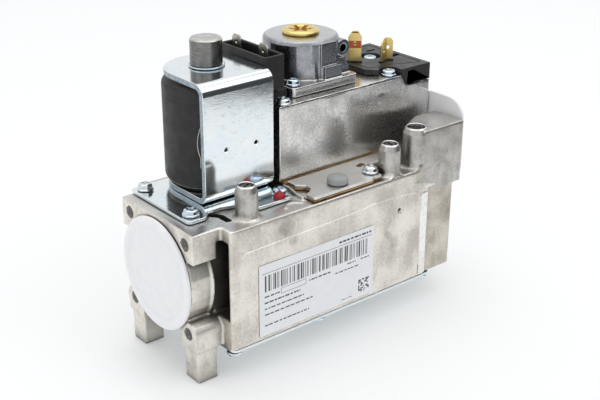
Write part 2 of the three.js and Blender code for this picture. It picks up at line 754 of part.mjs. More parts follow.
const turretSolid = turned(
  [
    [0, SLAB.top - 1],
    [TURRET.radius, SLAB.top - 1],
    [TURRET.radius, TURRET.top - 1.8],
    [TURRET.radius - 0.6, TURRET.top - 0.6],
    [TURRET.radius - 1.8, TURRET.top],
    [0, TURRET.top],
  ],
  LARGE,
).translate(TURRET.x, TURRET.y, 0);
const VENT = { x: 104.4, z: 121.2, radius: 4, front: 29, back: 38 };
const ventBoss = (radius, y0, y1) =>
  new THREE.CylinderGeometry(radius, radius, y1 - y0, 20).translate(VENT.x, (y0 + y1) / 2, VENT.z);
const regulatorSolid = carve(
  join([
    slab(roundedRectangle(SLAB.left, SLAB.front, SLAB.right, SLAB.back, 2), SLAB_BOTTOM, SLAB.top),
    turretSolid,
    block([88.5, 25.6, SLAB.top - 1], [97.4, TURRET.y, 126.6]),
    block([89.6, 24, SLAB.top - 1], [99.4, TURRET.y, 116]),
    block([97, 30, SLAB.top - 1], [VENT.x + 2.6, TURRET.y, 118.6]),
    ventBoss(VENT.radius, VENT.front, VENT.back),
  ]),
  [
    rod(TURRET.x, TURRET.y, SLAB_BOTTOM - 1, TURRET.top - 3.2, TURRET.bore, LARGE),
    rod(TURRET.x, TURRET.y, TURRET.top - 4, TURRET.top + 1, TURRET.thread, MEDIUM),
    ventBoss(1.8, VENT.front - 1, VENT.front + 6),
    ...SLAB_SCREWS.map(([x, y]) => rod(x, y, SLAB_BOTTOM - 1, SLAB.top + 1, M4.hole, 8)),
  ],
);
place('regulator_housing', regulatorSolid, FINISH.diecast());
SLAB_SCREWS.forEach(([x, y], i) => {
  place(`regulator_screw_${i + 1}`, screwSolid(3.2, 2.8, M4.shank, 9), FINISH.zinc(), x, y, SLAB.top + GAP);
});
place('regulator_pad', slab(roundedRectangle(60.6, 26, SLAB.left - GAP, 46, 1), SLAB_BOTTOM, 110.4), FINISH.plastic());

const ADJUSTER = { head: 8.4, headHeight: 1.9, foot: 119 };
const adjusterSolid = carve(
  toSolid(
    turned([
      [0, ADJUSTER.foot],
      [TURRET.thread - GAP, ADJUSTER.foot],
      [TURRET.thread - GAP, TURRET.top + GAP],
      [ADJUSTER.head, TURRET.top + GAP],
      [ADJUSTER.head, TURRET.top + GAP + 1.2],
      [ADJUSTER.head - 0.7, TURRET.top + GAP + ADJUSTER.headHeight],
      [0, TURRET.top + GAP + ADJUSTER.headHeight],
    ]),
  ),
  [
    block([-6.4, -1, TURRET.top - 0.8], [6.4, 1, TURRET.top + 4]),
    block([-1, -6.4, TURRET.top - 0.8], [1, 6.4, TURRET.top + 4]),
    rod(0, 0, TURRET.top - 1.6, TURRET.top + 4, 2.9, 16),
  ],
);
place('adjuster_screw', adjusterSolid, FINISH.brass(), TURRET.x, TURRET.y);

const springSeat = turned([
  [0, ADJUSTER.foot - 2],
  [10, ADJUSTER.foot - 2],
  [10, ADJUSTER.foot - 0.8],
  [4, ADJUSTER.foot - GAP],
  [0, ADJUSTER.foot - GAP],
]);
place('spring_seat', springSeat, FINISH.steel(), TURRET.x, TURRET.y);
place('regulator_spring', spring(7.4, 0.5, SLAB_BOTTOM + 1.4, ADJUSTER.foot - 2 - GAP, 3), FINISH.steel(), TURRET.x, TURRET.y);
const regulatorDiaphragm = turned([
  [0, SERVO.top - 1.2],
  [15.5, SERVO.top - 1.2],
  [15.5, SERVO.top - 0.2],
  [9.4, SERVO.top - 0.2],
  [8.8, SERVO.top + 1.2],
  [0, SERVO.top + 1.2],
]);
place('regulator_diaphragm', regulatorDiaphragm, FINISH.seal(), TURRET.x, TURRET.y);

// ---- Electrical terminal block ------------------------------------------------------

const terminalProfile = polygon([
  [TERMINAL.left, SLAB_BOTTOM],
  [SERVO.shoulder + 0.2, SLAB_BOTTOM],
  [SERVO.stepFoot + 0.2, SERVO.step + GAP],
  [TERMINAL.right, SERVO.step + GAP],
  [TERMINAL.right, TERMINAL.top],
  [TERMINAL.left, TERMINAL.top],
]);
const terminalRaw = new THREE.ExtrudeGeometry(terminalProfile, {
  depth: TERMINAL.back - TERMINAL.front,
  bevelEnabled: false,
})
  .rotateX(Math.PI / 2)
  .translate(0, TERMINAL.back, 0);
const terminalBlock = carve(toSolid(terminalRaw), [
  block([TERMINAL.left - 1, TERMINAL.front - 1, 100], [122, 24.2, 112]),
  block([TERMINAL.left - 1, TERMINAL.front - 1, 100], [SERVO_SCREWS[1][0] + 4.2, SERVO_SCREWS[1][1], 112]),
  rod(...SERVO_SCREWS[1], 100, 112, 4.6, 24),
  block([135.1, TERMINAL.front - 1, 99], [138.9, TERMINAL.front + 2, 107.1]),
  rod(...TERMINAL_SCREW, 98, 112, M4.hole, 8),
  rod(...TERMINAL_SCREW, 106, 112, 5, 24),
  block([124.5, 44.6, 106], [128.5, 46.2, 112]),
  block([141.6, 36.2, 106], [146, 38.2, 112]),
]);
place('terminal_block', terminalBlock, FINISH.plastic());
place('terminal_screw', screwSolid(M4.head, 2.4, M4.shank, 12), FINISH.zinc(), ...TERMINAL_SCREW, 106.3);

/** Brass blades stand on the block's top, each turned about Z by its own angle. */
const TERMINAL_BLADES = [
  { x: 122.1, y: 40.6, height: 13.4, width: 6.3, turn: -42 },
  { x: 124.3, y: 42.9, height: 13.8, width: 4.8, turn: -42 },
  { x: 133.2, y: 32.8, height: 9.4, width: 4.8, turn: 18 },
  { x: 136.9, y: 33.7, height: 10.4, width: 4.8, turn: -52 },
];
TERMINAL_BLADES.forEach(({ x, y, height, width, turn }, i) => {
  const tab = place(
    `terminal_blade_${i + 1}`,
    blade(width, height, BLADE.thickness, height - 4.6),
    FINISH.brass(),
    x,
    y,
    TERMINAL.top + GAP,
  );
  tab.rotation.z = THREE.MathUtils.degToRad(turn);
});

// ---- Access plate on the body's top -------------------------------------------------

const accessOutline = (inset) =>
  polygon([
    [59.2 + inset, -5.2 + inset],
    [92.6, -5.2 + inset],
    [94.6, -4.2 + inset],
    [99.4 - inset, -4.2 + inset],
    [99.4 - inset, 5],
    [103.4, 8.2],
    [111, 8.2],
    [114.6 - inset, 12],
    [114.6 - inset, 16.4],
    [61.4 + inset, 16.4],
    [61.4 + inset, 10.6],
    [64.8, 7.6],
    [64.8, 4.2],
    [62.4, 1.8],
    [59.2 + inset, 0.4],
  ]);
const ACCESS = { gasket: 0.6, sheet: 1.3 };
const accessBottom = PLATE_BOTTOM + ACCESS.gasket + GAP;
const accessTop = accessBottom + ACCESS.sheet;
const PLUG = { x: 77.3, y: 0.8, radius: 4.7, neck: 2.6 };
const accessHoles = (z0, z1) => [
  rod(...SIDE_SCREW, z0, z1, M4.hole, 8),
  rod(PLUG.x, PLUG.y, z0, z1, PLUG.neck + GAP, 16),
];
const accessGasket = carve(
  toSolid(slab(accessOutline(0.1), PLATE_BOTTOM, PLATE_BOTTOM + ACCESS.gasket)),
  accessHoles(PLATE_BOTTOM - 1, accessTop),
);
const accessPlate = carve(toSolid(slab(accessOutline(0), accessBottom, accessTop)), [
  ...accessHoles(accessBottom - 1, accessTop + 1),
  rod(97.6, 9.2, accessBottom - 1, accessTop + 1, 1.5, 12),
  rod(100.2, 10.4, accessBottom - 1, accessTop + 1, 1.5, 12),
]);
place('access_gasket', accessGasket, FINISH.gasket());
place('access_plate', accessPlate, FINISH.casting());
place('access_screw', screwSolid(M4.head, M4.height, M4.shank, 6.5), FINISH.zinc(), ...SIDE_SCREW, accessTop + GAP);

const rubberPlug = turned(
  [
    [0, PLATE_BOTTOM],
    [PLUG.neck, PLATE_BOTTOM],
    [PLUG.neck, accessTop + GAP],
    [PLUG.radius, accessTop + GAP],
    [PLUG.radius, accessTop + GAP + 2],
    [PLUG.radius - 0.7, accessTop + GAP + 3.1],
    [0, accessTop + GAP + 3.1],
  ],
  20,
);
place('rubber_plug', rubberPlug, FINISH.rubber(), PLUG.x, PLUG.y);

// ---- Pressure test screws and rating label ------------------------------------------

POSTS.forEach(({ x, y, radius, top }, i) => {
  const headRadius = radius - 2.3;
  const solid = carve(
    toSolid(
      turned(
        [
          [0, -10],
          [1.85, -10],
          [1.85, -1],
          [headRadius, -1],
          [headRadius, 0],
          [0, 0],
        ],
        SMALL,
      ),
    ),
    [block([-headRadius - 1, -0.4, -0.6], [headRadius + 1, 0.4, 1])],
  );
  place(`test_screw_${i + 1}`, solid, FINISH.steel(), x, y, top - 0.1);
});

const labelFront = BODY.front - 0.1 - LABEL.thickness;
place(
  'rating_label',
  block([LABEL.left, labelFront, LABEL.bottom], [LABEL.right, BODY.front - 0.1, LABEL.top]),
  FINISH.paper(),
);

// ---- Origin under the middle of the whole valve -------------------------------------

const extent = new THREE.Box3().setFromObject(valve);
valve.position.set(-(extent.min.x + extent.max.x) / 2, -(extent.min.y + extent.max.y) / 2, -extent.min.z);

export default valve;
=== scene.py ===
"""Looks of a combination gas control valve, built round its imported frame.

Shapes are laid out in millimetres of the valve's own layout: X runs from the inlet flange's
face towards the outlet, Y from the flange's front edge towards the back, and Z up from the feet.
"""

import json
import logging
import math
import random
from collections.abc import Callable, Iterable, Sequence
from dataclasses import dataclass, field
from enum import Enum
from typing import ClassVar

import bmesh
import bpy
from mathutils import Matrix, Vector, noise


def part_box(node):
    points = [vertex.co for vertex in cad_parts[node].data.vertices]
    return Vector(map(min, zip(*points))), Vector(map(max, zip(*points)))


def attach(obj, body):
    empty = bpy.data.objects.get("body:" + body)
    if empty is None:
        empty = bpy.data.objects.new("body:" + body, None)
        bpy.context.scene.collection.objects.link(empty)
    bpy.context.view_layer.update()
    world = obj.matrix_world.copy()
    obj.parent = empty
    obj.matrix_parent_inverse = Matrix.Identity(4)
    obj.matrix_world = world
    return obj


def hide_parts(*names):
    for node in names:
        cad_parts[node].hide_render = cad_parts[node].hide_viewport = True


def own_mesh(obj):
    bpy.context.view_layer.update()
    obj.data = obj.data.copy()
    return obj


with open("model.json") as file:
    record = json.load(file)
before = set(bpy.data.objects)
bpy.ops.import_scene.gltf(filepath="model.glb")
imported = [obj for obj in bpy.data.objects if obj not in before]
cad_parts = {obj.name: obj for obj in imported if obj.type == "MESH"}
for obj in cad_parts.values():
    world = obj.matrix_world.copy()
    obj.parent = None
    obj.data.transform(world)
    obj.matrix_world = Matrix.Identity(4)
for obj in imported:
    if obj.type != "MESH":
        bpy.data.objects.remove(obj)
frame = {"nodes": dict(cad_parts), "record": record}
log = logging.getLogger("gas_valve")

MM = 0.001
CASTING_FRONT = -7.2  # the casting's foremost point in the valve's own layout
TURN = 2 * math.pi

Point = tuple[float, float]
Triple = tuple[float, float, float]
Colour = tuple[float, float, float]
Socket = bpy.types.NodeSocket
Given = Callable[[str], Socket]


class Rides(Enum):
    """The body of the frame that a piece moves with."""

    VALVE = "valve"
    ADJUSTER = "adjuster"
    INLET_CAP = "inlet_cap"
    OUTLET_CAP = "outlet_cap"
    PLUG = "plug"
    TEST_SCREW_A = "test_screw_a"
    TEST_SCREW_B = "test_screw_b"
    TEST_SCREW_C = "test_screw_c"


class Axis(Enum):
    """The way that a turned or extruded shape's own Z points in the valve."""

    UP = Matrix.Identity(4)
    DOWN = Matrix.Rotation(math.pi, 4, "X")
    TO_OUTLET = Matrix.Rotation(math.pi / 2, 4, "Y")
    TO_INLET = Matrix.Rotation(-math.pi / 2, 4, "Y")


FACING_FRONT = Matrix(((1, 0, 0, 0), (0, 0, 1, 0), (0, 1, 0, 0), (0, 0, 0, 1)))
"""Stands a flat outline up: its Y becomes the valve's Z, and its height becomes Y."""

FACING_SIDE = Matrix(((0, 0, 1, 0), (1, 0, 0, 0), (0, 1, 0, 0), (0, 0, 0, 1)))
"""Stands a flat outline across the valve: X and Y become Y and Z, and its height becomes X."""


def pressed_at(x: float, y: float, z: float) -> Matrix:
    """Turns an upright shape to face the front and puts its zero at a point."""
    return Matrix.Translation((x, y, z)) @ Matrix.Rotation(math.pi / 2, 4, "X")


def stood_at(x: float, y: float, z: float, degrees: float) -> Matrix:
    """Turns an upright shape about its axis and puts its zero at a point."""
    return Matrix.Translation((x, y, z)) @ Matrix.Rotation(math.radians(degrees), 4, "Z")


# ---- Shapes ---------------------------------------------------------------------------


def circle(x: float, y: float, radius: float, count: int = 32) -> list[Point]:
    """Points round a whole circle."""
    return [
        (x + radius * math.cos(TURN * i / count), y + radius * math.sin(TURN * i / count))
        for i in range(count)
    ]


def rectangle(x0: float, y0: float, x1: float, y1: float) -> list[Point]:
    """The four corners of a rectangle, anticlockwise."""
    return [(x0, y0), (x1, y0), (x1, y1), (x0, y1)]


def rounded(points: Sequence[Point], radius: float, steps: int = 5, closed: bool = True) -> list[Point]:
    """Turns each corner of an outline into an arc.

    Args:
        points: the outline's corners in order.
        radius: the arcs' radius, made smaller where an edge is too short for it.
        steps: how many straight pieces an arc has.
        closed: whether the last point joins the first.

    Returns:
        The new outline.
    """
    result: list[Point] = []
    count = len(points)
    for i, corner in enumerate(points):
        if not closed and i in (0, count - 1):
            result.append(corner)
            continue
        here = Vector(corner)
        back = Vector(points[i - 1]) - here
        ahead = Vector(points[(i + 1) % count]) - here
        angle = back.angle(ahead, math.pi)
        if angle > math.radians(176) or radius <= 0:
            result.append(corner)
            continue
        trim = min(radius / math.tan(angle / 2), 0.49 * back.length, 0.49 * ahead.length)
        start = here + back.normalized() * trim
        end = here + ahead.normalized() * trim
        true_radius = trim * math.tan(angle / 2)
        inwards = (back.normalized() + ahead.normalized()).normalized()
        middle = here + inwards * true_radius / math.sin(angle / 2)
        first, last = start - middle, end - middle
        sweep = first.angle_signed(last)
        for k in range(steps + 1):
            turned = Matrix.Rotation(-sweep * k / steps, 2) @ first
            result.append(tuple(middle + turned))
    return result


def signed_area(outline: Sequence[Point]) -> float:
    """Twice the area inside an outline, above zero where it runs anticlockwise."""
    return sum(a[0] * b[1] - b[0] * a[1] for a, b in zip(outline, [*outline[1:], outline[0]]))


def inset(outline: Sequence[Point], distance: float) -> list[Point]:
    """Moves an anticlockwise outline's corners inwards by a small distance."""
    result = []
    for i, corner in enumerate(outline):
        before = Vector(corner) - Vector(outline[i - 1])
        after = Vector(outline[(i + 1) % len(outline)]) - Vector(corner)
        normals = [Vector((-edge.y, edge.x)).normalized() for edge in (before, after)]
        miter = (normals[0] + normals[1]) / max(0.35, 1 + normals[0].dot(normals[1]))
        result.append(tuple(Vector(corner) + miter * distance))
    return result


@dataclass
class Solid:
    """A closed mesh in millimetres of the valve's own layout."""

    mesh: bpy.types.Mesh

    @classmethod
    def from_rings(cls, rings: Sequence[Sequence[Triple]], ends: bool = True) -> "Solid":
        """Skins a row of closed rings of points.

        Args:
            rings: each ring's points. A ring of one point is a tip.
            ends: whether the first and last ring are filled, or joined to each other.

        Returns:
            The solid.
        """
        bm = bmesh.new()
        made = [[bm.verts.new(p) for p in ring] for ring in rings]
        pairs = list(zip(made, made[1:]))
        if not ends:
            pairs.append((made[-1], made[0]))
        for low, high in pairs:
            count = max(len(low), len(high))
            for i in range(count):
                j = (i + 1) % count
                corners = [low[i % len(low)], low[j % len(low)], high[j % len(high)], high[i % len(high)]]
                unique = list(dict.fromkeys(corners))
                if len(unique) > 2:
                    bm.faces.new(unique)
        if ends:
            for ring in (made[0], made[-1]):
                if len(ring) > 2:
                    bm.faces.new(ring)
        bmesh.ops.recalc_face_normals(bm, faces=bm.faces)
        mesh = bpy.data.meshes.new("solid")
        bm.to_mesh(mesh)
        bm.free()
        return cls(mesh)

    @classmethod
    def prism(
        cls, outline: Sequence[Point], low: float, high: float, edge: float = 0.3, steps: int = 3
    ) -> "Solid":
        """Raises a flat outline between two levels, with its rims rounded.

        Args:
            outline: the outline's corners in X and Y.
            low: the bottom level.
            high: the top level.
            edge: the radius of both rims.
            steps: how many rings make up a rounded rim.

        Returns:
            The solid.
        """
        flat = list(outline) if signed_area(outline) > 0 else list(reversed(outline))
        if edge <= 0:
            levels = [(0.0, low), (0.0, high)]
        else:
            bends = [math.pi / 2 * k / steps for k in range(steps + 1)]
            foot = [(edge * (1 - math.sin(a)), low + edge * (1 - math.cos(a))) for a in bends]
            levels = foot + [(distance, low + high - level) for distance, level in reversed(foot)]
        rings = [[(x, y, level) for x, y in inset(flat, distance)] for distance, level in levels]
        return cls.from_rings(rings)

    @classmethod
    def block(cls, low: Triple, high: Triple, edge: float = 0.3, corner: float = 0.0) -> "Solid":
        """A block between two corners, with rounded rims and upright corners."""
        outline = rounded(rectangle(low[0], low[1], high[0], high[1]), corner or edge)
        return cls.prism(outline, low[2], high[2], edge)

    @classmethod
    def turned(
        cls, profile: Sequence[Point], at: Triple = (0, 0, 0), axis: Axis = Axis.UP, count: int = 64
    ) -> "Solid":
        """Turns a profile about an axis.

        Args:
            profile: radius and height pairs, which start and end on the axis or close on themselves.
            at: where the axis's zero height lies.
            axis: the way that height runs.
            count: facets round the axis.

        Returns:
            The solid.
        """
        rings = [
            [
                (radius * math.cos(TURN * i / count), radius * math.sin(TURN * i / count), height)
                for i in range(count)
            ]
            if radius > 1e-6
            else [(0, 0, height)]
            for radius, height in profile
        ]
        whole = profile[0][0] > 1e-6 and profile[-1][0] > 1e-6
        return cls.from_rings(rings, ends=not whole).moved(Matrix.Translation(at) @ axis.value)

    @classmethod
    def pipe(cls, path: Sequence[Triple], radius: float, count: int = 10) -> "Solid":
        """A round wire along a path, with flat ends.

        Args:
            path: the points that its middle runs through.
            radius: the wire's radius.
            count: facets round the wire.

        Returns:
            The solid.
        """
        rings = []
        for i, point in enumerate(path):
            ahead = Vector(path[min(i + 1, len(path) - 1)]) - Vector(path[max(i - 1, 0)])
            side = ahead.orthogonal().normalized()
            if rings:
                side = (last_side - ahead * last_side.dot(ahead) / ahead.length_squared).normalized()
            last_side = side
            other = ahead.normalized().cross(side)
            rings.append(
                [
                    tuple(Vector(point) + radius * (side * math.cos(a) + other * math.sin(a)))
                    for a in (TURN * k / count for k in range(count))
                ]
            )
        return cls.from_rings(rings)

    @classmethod
    def from_node(cls, node: str) -> "Solid":
        """A welded copy of a node of the frame."""
        mesh = frame["nodes"][node].data.copy()
        mesh.materials.clear()
        mesh.transform(layout_to_frame().inverted())
        bm = bmesh.new()
        bm.from_mesh(mesh)
        bmesh.ops.remove_doubles(bm, verts=bm.verts, dist=1e-3)
        bm.to_mesh(mesh)
        bm.free()
        return cls(mesh)

    def moved(self, matrix: Matrix) -> "Solid":
        """Moves the solid and gives it back."""
        self.mesh.transform(matrix)
        if matrix.determinant() < 0:
            self.mesh.flip_normals()
        return self

    def shaped(self, *modifiers: tuple[str, dict]) -> "Solid":
        """Applies modifiers, each given as its type and its settings."""
        holder = bpy.data.objects.new("work", self.mesh)
        bpy.context.scene.collection.objects.link(holder)
        for kind, settings in modifiers:
            modifier = holder.modifiers.new(kind.lower(), kind)
            for key, value in settings.items():
                setattr(modifier, key, value)
        ready = holder.evaluated_get(bpy.context.evaluated_depsgraph_get())
        mesh = bpy.data.meshes.new_from_object(ready)
        bpy.data.objects.remove(holder)
        return Solid(mesh)

    def _combined(self, operation: str, others: Iterable["Solid"]) -> "Solid":
        """Joins, cuts or keeps with other solids, one after another."""
        tools = [bpy.data.objects.new("tool", other.mesh) for other in others]
        for tool in tools:
            bpy.context.scene.collection.objects.link(tool)
        steps = [
            ("BOOLEAN", {"operation": operation, "solver": "MANIFOLD", "object": tool}) for tool in tools
        ]
        result = self.shaped(*steps)
        for tool in tools:
            bpy.data.objects.remove(tool)
        return result

    def joined(self, *others: "Solid") -> "Solid":
        """This solid and others as one."""
        return self._combined("UNION", others)

    def cut(self, *others: "Solid") -> "Solid":
        """This solid less others."""
        return self._combined("DIFFERENCE", others)

    def kept(self, other: "Solid") -> "Solid":
        """What this solid shares with another."""
        return self._combined("INTERSECT", [other])

    def beside(self, *others: "Solid") -> "Solid":
        """This solid and others in one mesh, each still closed by itself."""
        bm = bmesh.new()
        for solid in (self, *others):
            bm.from_mesh(solid.mesh)
        mesh = bpy.data.meshes.new("solid")
        bm.to_mesh(mesh)
        bm.free()
        return Solid(mesh)

    def cast(self, voxel: float, relax: int, share: float) -> "Solid":
        """Rounds every edge as a mould does.

        Args:
            voxel: the grain of the new surface, about half the radius of its edges.
            relax: how many times the surface is smoothed.
            share: the share of faces kept afterwards.

        Returns:
            The solid.
        """
        return self.shaped(
            ("REMESH", {"mode": "VOXEL", "voxel_size": voxel, "adaptivity": 0.0}),
            ("SMOOTH", {"factor": 0.5, "iterations": relax}),
            ("DECIMATE", {"ratio": share}),
        )

    def displaced(self, offset: Callable[[Vector], Vector]) -> "Solid":
        """Moves each point by what offset gives for it."""
        for vertex in self.mesh.vertices:
            vertex.co += offset(vertex.co.copy())
        return self


def layout_to_frame() -> Matrix:
    """From millimetres of the valve's own layout to the frame's metres."""
    low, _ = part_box("main_body")
    return Matrix.Translation((low.x, low.y - CASTING_FRONT * MM, low.z)) @ Matrix.Scale(MM, 4)


def hole(x: float, y: float, low: float, high: float, radius: float, mouth: float = 0.25) -> Solid:
    """A tool for an upright hole through a sheet, with its two mouths eased.

    Args:
        x: the place of its axis along X.
        y: the place of its axis along Y.
        low: the sheet's underside.
        high: the sheet's top.
        radius: the hole's radius.
        mouth: how much each mouth is eased.

    Returns:
        The tool.
    """
    reach = mouth + 1
    profile = [
        (0, low - reach), (radius + mouth + 1, low - reach + 1 - mouth), (radius + mouth, low),
        (radius, low + mouth), (radius, high - mouth), (radius + mouth, high),
        (radius + mouth + 1, high + reach - 1 + mouth), (0, high + reach),
    ]
    return Solid.turned(profile, (x, y, 0), count=32)


def tapped(radius: float, depth: float, pitch: float = 0.8, mouth: float = 0.45) -> Solid:
    """A tool for a tapped hole that starts at zero and runs down.

    Args:
        radius: the radius of the thread's crests.
        depth: how far the thread runs.
        pitch: the thread's pitch.
        mouth: the depth of the countersunk mouth.

    Returns:
        The tool.
    """
    profile = [(0, 1), (radius + mouth + 1, 1), (radius, -mouth)]
    level = -mouth
    while level > pitch - depth:
        profile += [(radius + 0.38, level - 0.5 * pitch), (radius, level - pitch)]
        level -= pitch
    profile += [(radius, -depth), (0, -depth - 0.6 * radius)]
    return Solid.turned(profile, count=32)


# ---- Shader building ------------------------------------------------------------------


class Graph:
    """Adds shader nodes to a tree and joins them."""

    def __init__(self, tree: bpy.types.NodeTree) -> None:
        """Starts on a tree."""
        self.tree = tree

    def add(self, kind: str, inputs: dict | None = None, **settings: object) -> bpy.types.Node:
        """Adds a node.

        Args:
            kind: the node's type without its ShaderNode prefix.
            inputs: a value or a socket for each named or numbered input.
            settings: the node's own settings.

        Returns:
            The node.
        """
        node = self.tree.nodes.new(f"ShaderNode{kind}")
        for key, value in settings.items():
            setattr(node, key, value)
        for key, value in (inputs or {}).items():
            if isinstance(value, Socket):
                self.tree.links.new(value, node.inputs[key])
            else:
                node.inputs[key].default_value = value
        return node

    def link(self, source: Socket, target: Socket) -> None:
        """Joins two sockets."""
        self.tree.links.new(source, target)

    def math(self, operation: str, *values: float | Socket) -> Socket:
        """The result of a sum on one to three values."""
        return self.add("Math", dict(enumerate(values)), operation=operation).outputs[0]

    def times(self, first: float | Socket, second: float | Socket) -> Socket:
        """The product of two values."""
        return self.math("MULTIPLY", first, second)

    def plus(self, first: float | Socket, second: float | Socket) -> Socket:
        """The sum of two values."""
        return self.math("ADD", first, second)

    def blend(self, share: object, first: object, second: object, mode: str = "MIX") -> Socket:
        """Mixes two colours by a share."""
        inputs = {0: share, 6: first, 7: second}
        return self.add("Mix", inputs, data_type="RGBA", blend_type=mode).outputs[2]

    def spread(
        self, value: object, low: float, high: float, to_low: float = 0.0, to_high: float = 1.0
    ) -> Socket:
        """Maps a range of values smoothly onto another.

        Args:
            value: the value or socket.
            low: the value that gives to_low.
            high: the value that gives to_high.
            to_low: one end of the result.
            to_high: its other end.

        Returns:
            The socket of the result.
        """
        inputs = {"Value": value, "From Min": low, "From Max": high, "To Min": to_low, "To Max": to_high}
        return self.add("MapRange", inputs, interpolation_type="SMOOTHSTEP").outputs[0]

    def millimetres(self, stretch: Triple = (1, 1, 1)) -> Socket:
        """The place on the piece in millimetres, stretched along each axis."""
        place = self.add("TexCoord").outputs["Object"]
        scale = tuple(s / MM for s in stretch)
        return self.add("VectorMath", {0: place, 1: scale}, operation="MULTIPLY").outputs[0]

    def noise(self, scale: object, detail: float = 3.0, stretch: Triple = (1, 1, 1)) -> Socket:
        """Soft noise with a grain of so many per millimetre."""
        inputs = {"Vector": self.millimetres(stretch), "Scale": scale, "Detail": detail}
        return self.add("TexNoise", inputs).outputs["Fac"]


def group(
    name: str,
    inputs: dict[str, float | tuple[float, ...]],
    outputs: dict[str, str],
    build: Callable[[Graph, Given], dict[str, Socket]],
) -> bpy.types.NodeTree:
    """Makes a shared effect once, as a node group with named inputs and outputs.

    Args:
        name: the effect's name.
        inputs: each input's starting value: a number, a vector of three or a colour of four.
        outputs: each output's type.
        build: makes the nodes and says which socket feeds each output.

    Returns:
        The node group.
    """
    if name in bpy.data.node_groups:
        return bpy.data.node_groups[name]
    tree = bpy.data.node_groups.new(name, "ShaderNodeTree")
    for key, value in inputs.items():
        kind = "Float" if isinstance(value, float) else "Color" if len(value) == 4 else "Vector"
        socket = tree.interface.new_socket(name=key, in_out="INPUT", socket_type=f"NodeSocket{kind}")
        socket.default_value = value
    for key, kind in outputs.items():
        tree.interface.new_socket(name=key, in_out="OUTPUT", socket_type=f"NodeSocket{kind}")
    entry = tree.nodes.new("NodeGroupInput")
    leave = tree.nodes.new("NodeGroupOutput")
    graph = Graph(tree)
    for key, socket in build(graph, lambda key: entry.outputs[key]).items():
        graph.link(socket, leave.inputs[key])
    return tree


SURFACE = {"Color": "Color", "Roughness": "Float", "Height": "Float"}


def rgba(colour: Colour) -> tuple[float, float, float, float]:
    """A colour with full opacity."""
    return (*colour, 1.0)


def cast_skin() -> bpy.types.NodeTree:
    """Mottled metal as it leaves the mould: blotches, upright flow marks, soiling and painted shade in
    corners, and painted shade in deep hollows.
    """

    def build(graph: Graph, given: Given) -> dict[str, Socket]:
        """Makes the skin's nodes."""
        blotch = graph.noise(given("Blotch Size"), 5.0)
        flow = graph.noise(0.22, 3.0, (1.0, 1.0, 0.3))
        fine = graph.noise(2.6, 4.0)
        rough_grain = graph.noise(0.9, 5.0)
        marks = graph.plus(graph.times(blotch, 0.5), graph.times(flow, 0.2))
        marks = graph.plus(marks, graph.times(rough_grain, 0.3))
        stain = graph.spread(marks, 0.38, 0.64)
        colour = graph.blend(stain, given("Light"), given("Dark"))
        speck = graph.spread(graph.noise(1.1, 2.0), 0.64, 0.72)
        colour = graph.blend(graph.times(speck, 0.5), colour, given("Dark"))
        smudge = graph.spread(graph.noise(0.055, 4.0), 0.6, 0.74)
        colour = graph.blend(graph.times(smudge, given("Smudge")), colour, given("Dirt"))
        # Soiling and painted shade: darker within 3.5 mm of a corner.
        corner = graph.add("AmbientOcclusion", {"Distance": 3.5 * MM}, samples=6).outputs["AO"]
        grime_and_corner_shade = graph.spread(graph.plus(corner, graph.times(fine, 0.25)), 0.95, 0.45)
        colour = graph.blend(graph.times(grime_and_corner_shade, given("Grime")), colour, given("Dirt"))
        # Painted shade: darker in deep hollows, within 16 mm of other surfaces.
        hollow = graph.add("AmbientOcclusion", {"Distance": 16 * MM}, samples=6).outputs["AO"]
        shade = graph.spread(hollow, 0.85, 0.3)
        colour = graph.blend(graph.times(shade, given("Shade")), colour, given("Dirt"))
        rough = graph.math("MULTIPLY_ADD", stain, given("Rough Range"), given("Rough"))
        height = graph.plus(graph.times(fine, 0.45), graph.times(marks, 0.9))
        return {"Color": colour, "Roughness": rough, "Height": height}

    inputs = {
        "Light": rgba((0.7, 0.68, 0.65)),
        "Dark": rgba((0.4, 0.37, 0.34)),
        # The colour of stains, soiling and painted shade.
        "Dirt": rgba((0.1, 0.09, 0.08)),
        "Blotch Size": 0.3,
        "Rough": 0.4,
        "Rough Range": 0.15,
        "Grime": 0.6,
        "Shade": 0.4,
        "Smudge": 0.25,
    }
    return group("As-cast skin", inputs, SURFACE, build)


def edge_wear() -> bpy.types.NodeTree:
    """A mask that is high on rounded edges that are handled, broken up by noise."""

    def build(graph: Graph, given: Given) -> dict[str, Socket]:
        """Makes the wear's nodes."""
        soft = graph.add("Bevel", {"Radius": given("Width")}, samples=4).outputs["Normal"]
        plain = graph.add("NewGeometry").outputs["Normal"]
        same = graph.add("VectorMath", {0: soft, 1: plain}, operation="DOT_PRODUCT").outputs["Value"]
        edge = graph.spread(graph.math("SUBTRACT", 1.0, same), 0.004, 0.09)
        broken = graph.spread(graph.noise(1.3, 3.0), 0.3, 0.6, 0.35, 1.0)
        return {"Mask": graph.times(edge, broken)}

    return group("Edge wear", {"Width": 0.5 * MM}, {"Mask": "Float"}, build)


def fine_grain() -> bpy.types.NodeTree:
    """Small even grain for mouldings, board and paint."""

    def build(graph: Graph, given: Given) -> dict[str, Socket]:
        """Makes the grain's nodes."""
        grain = graph.noise(given("Grain"), 2.0)
        broad = graph.noise(0.22, 3.0)
        rough = graph.math(
            "MULTIPLY_ADD", graph.spread(broad, 0.3, 0.7), given("Rough Range"), given("Rough")
        )
        shade = graph.spread(graph.plus(graph.times(broad, 0.6), graph.times(grain, 0.4)), 0.35, 0.65)
        colour = graph.blend(shade, given("Light"), given("Dark"))
        return {"Color": colour, "Roughness": rough, "Height": grain}

    inputs = {
        "Light": rgba((0.5, 0.5, 0.5)),
        "Dark": rgba((0.4, 0.4, 0.4)),
        "Grain": 6.0,
        "Rough": 0.4,
        "Rough Range": 0.12,
    }
    return group("Fine grain", inputs, SURFACE, build)


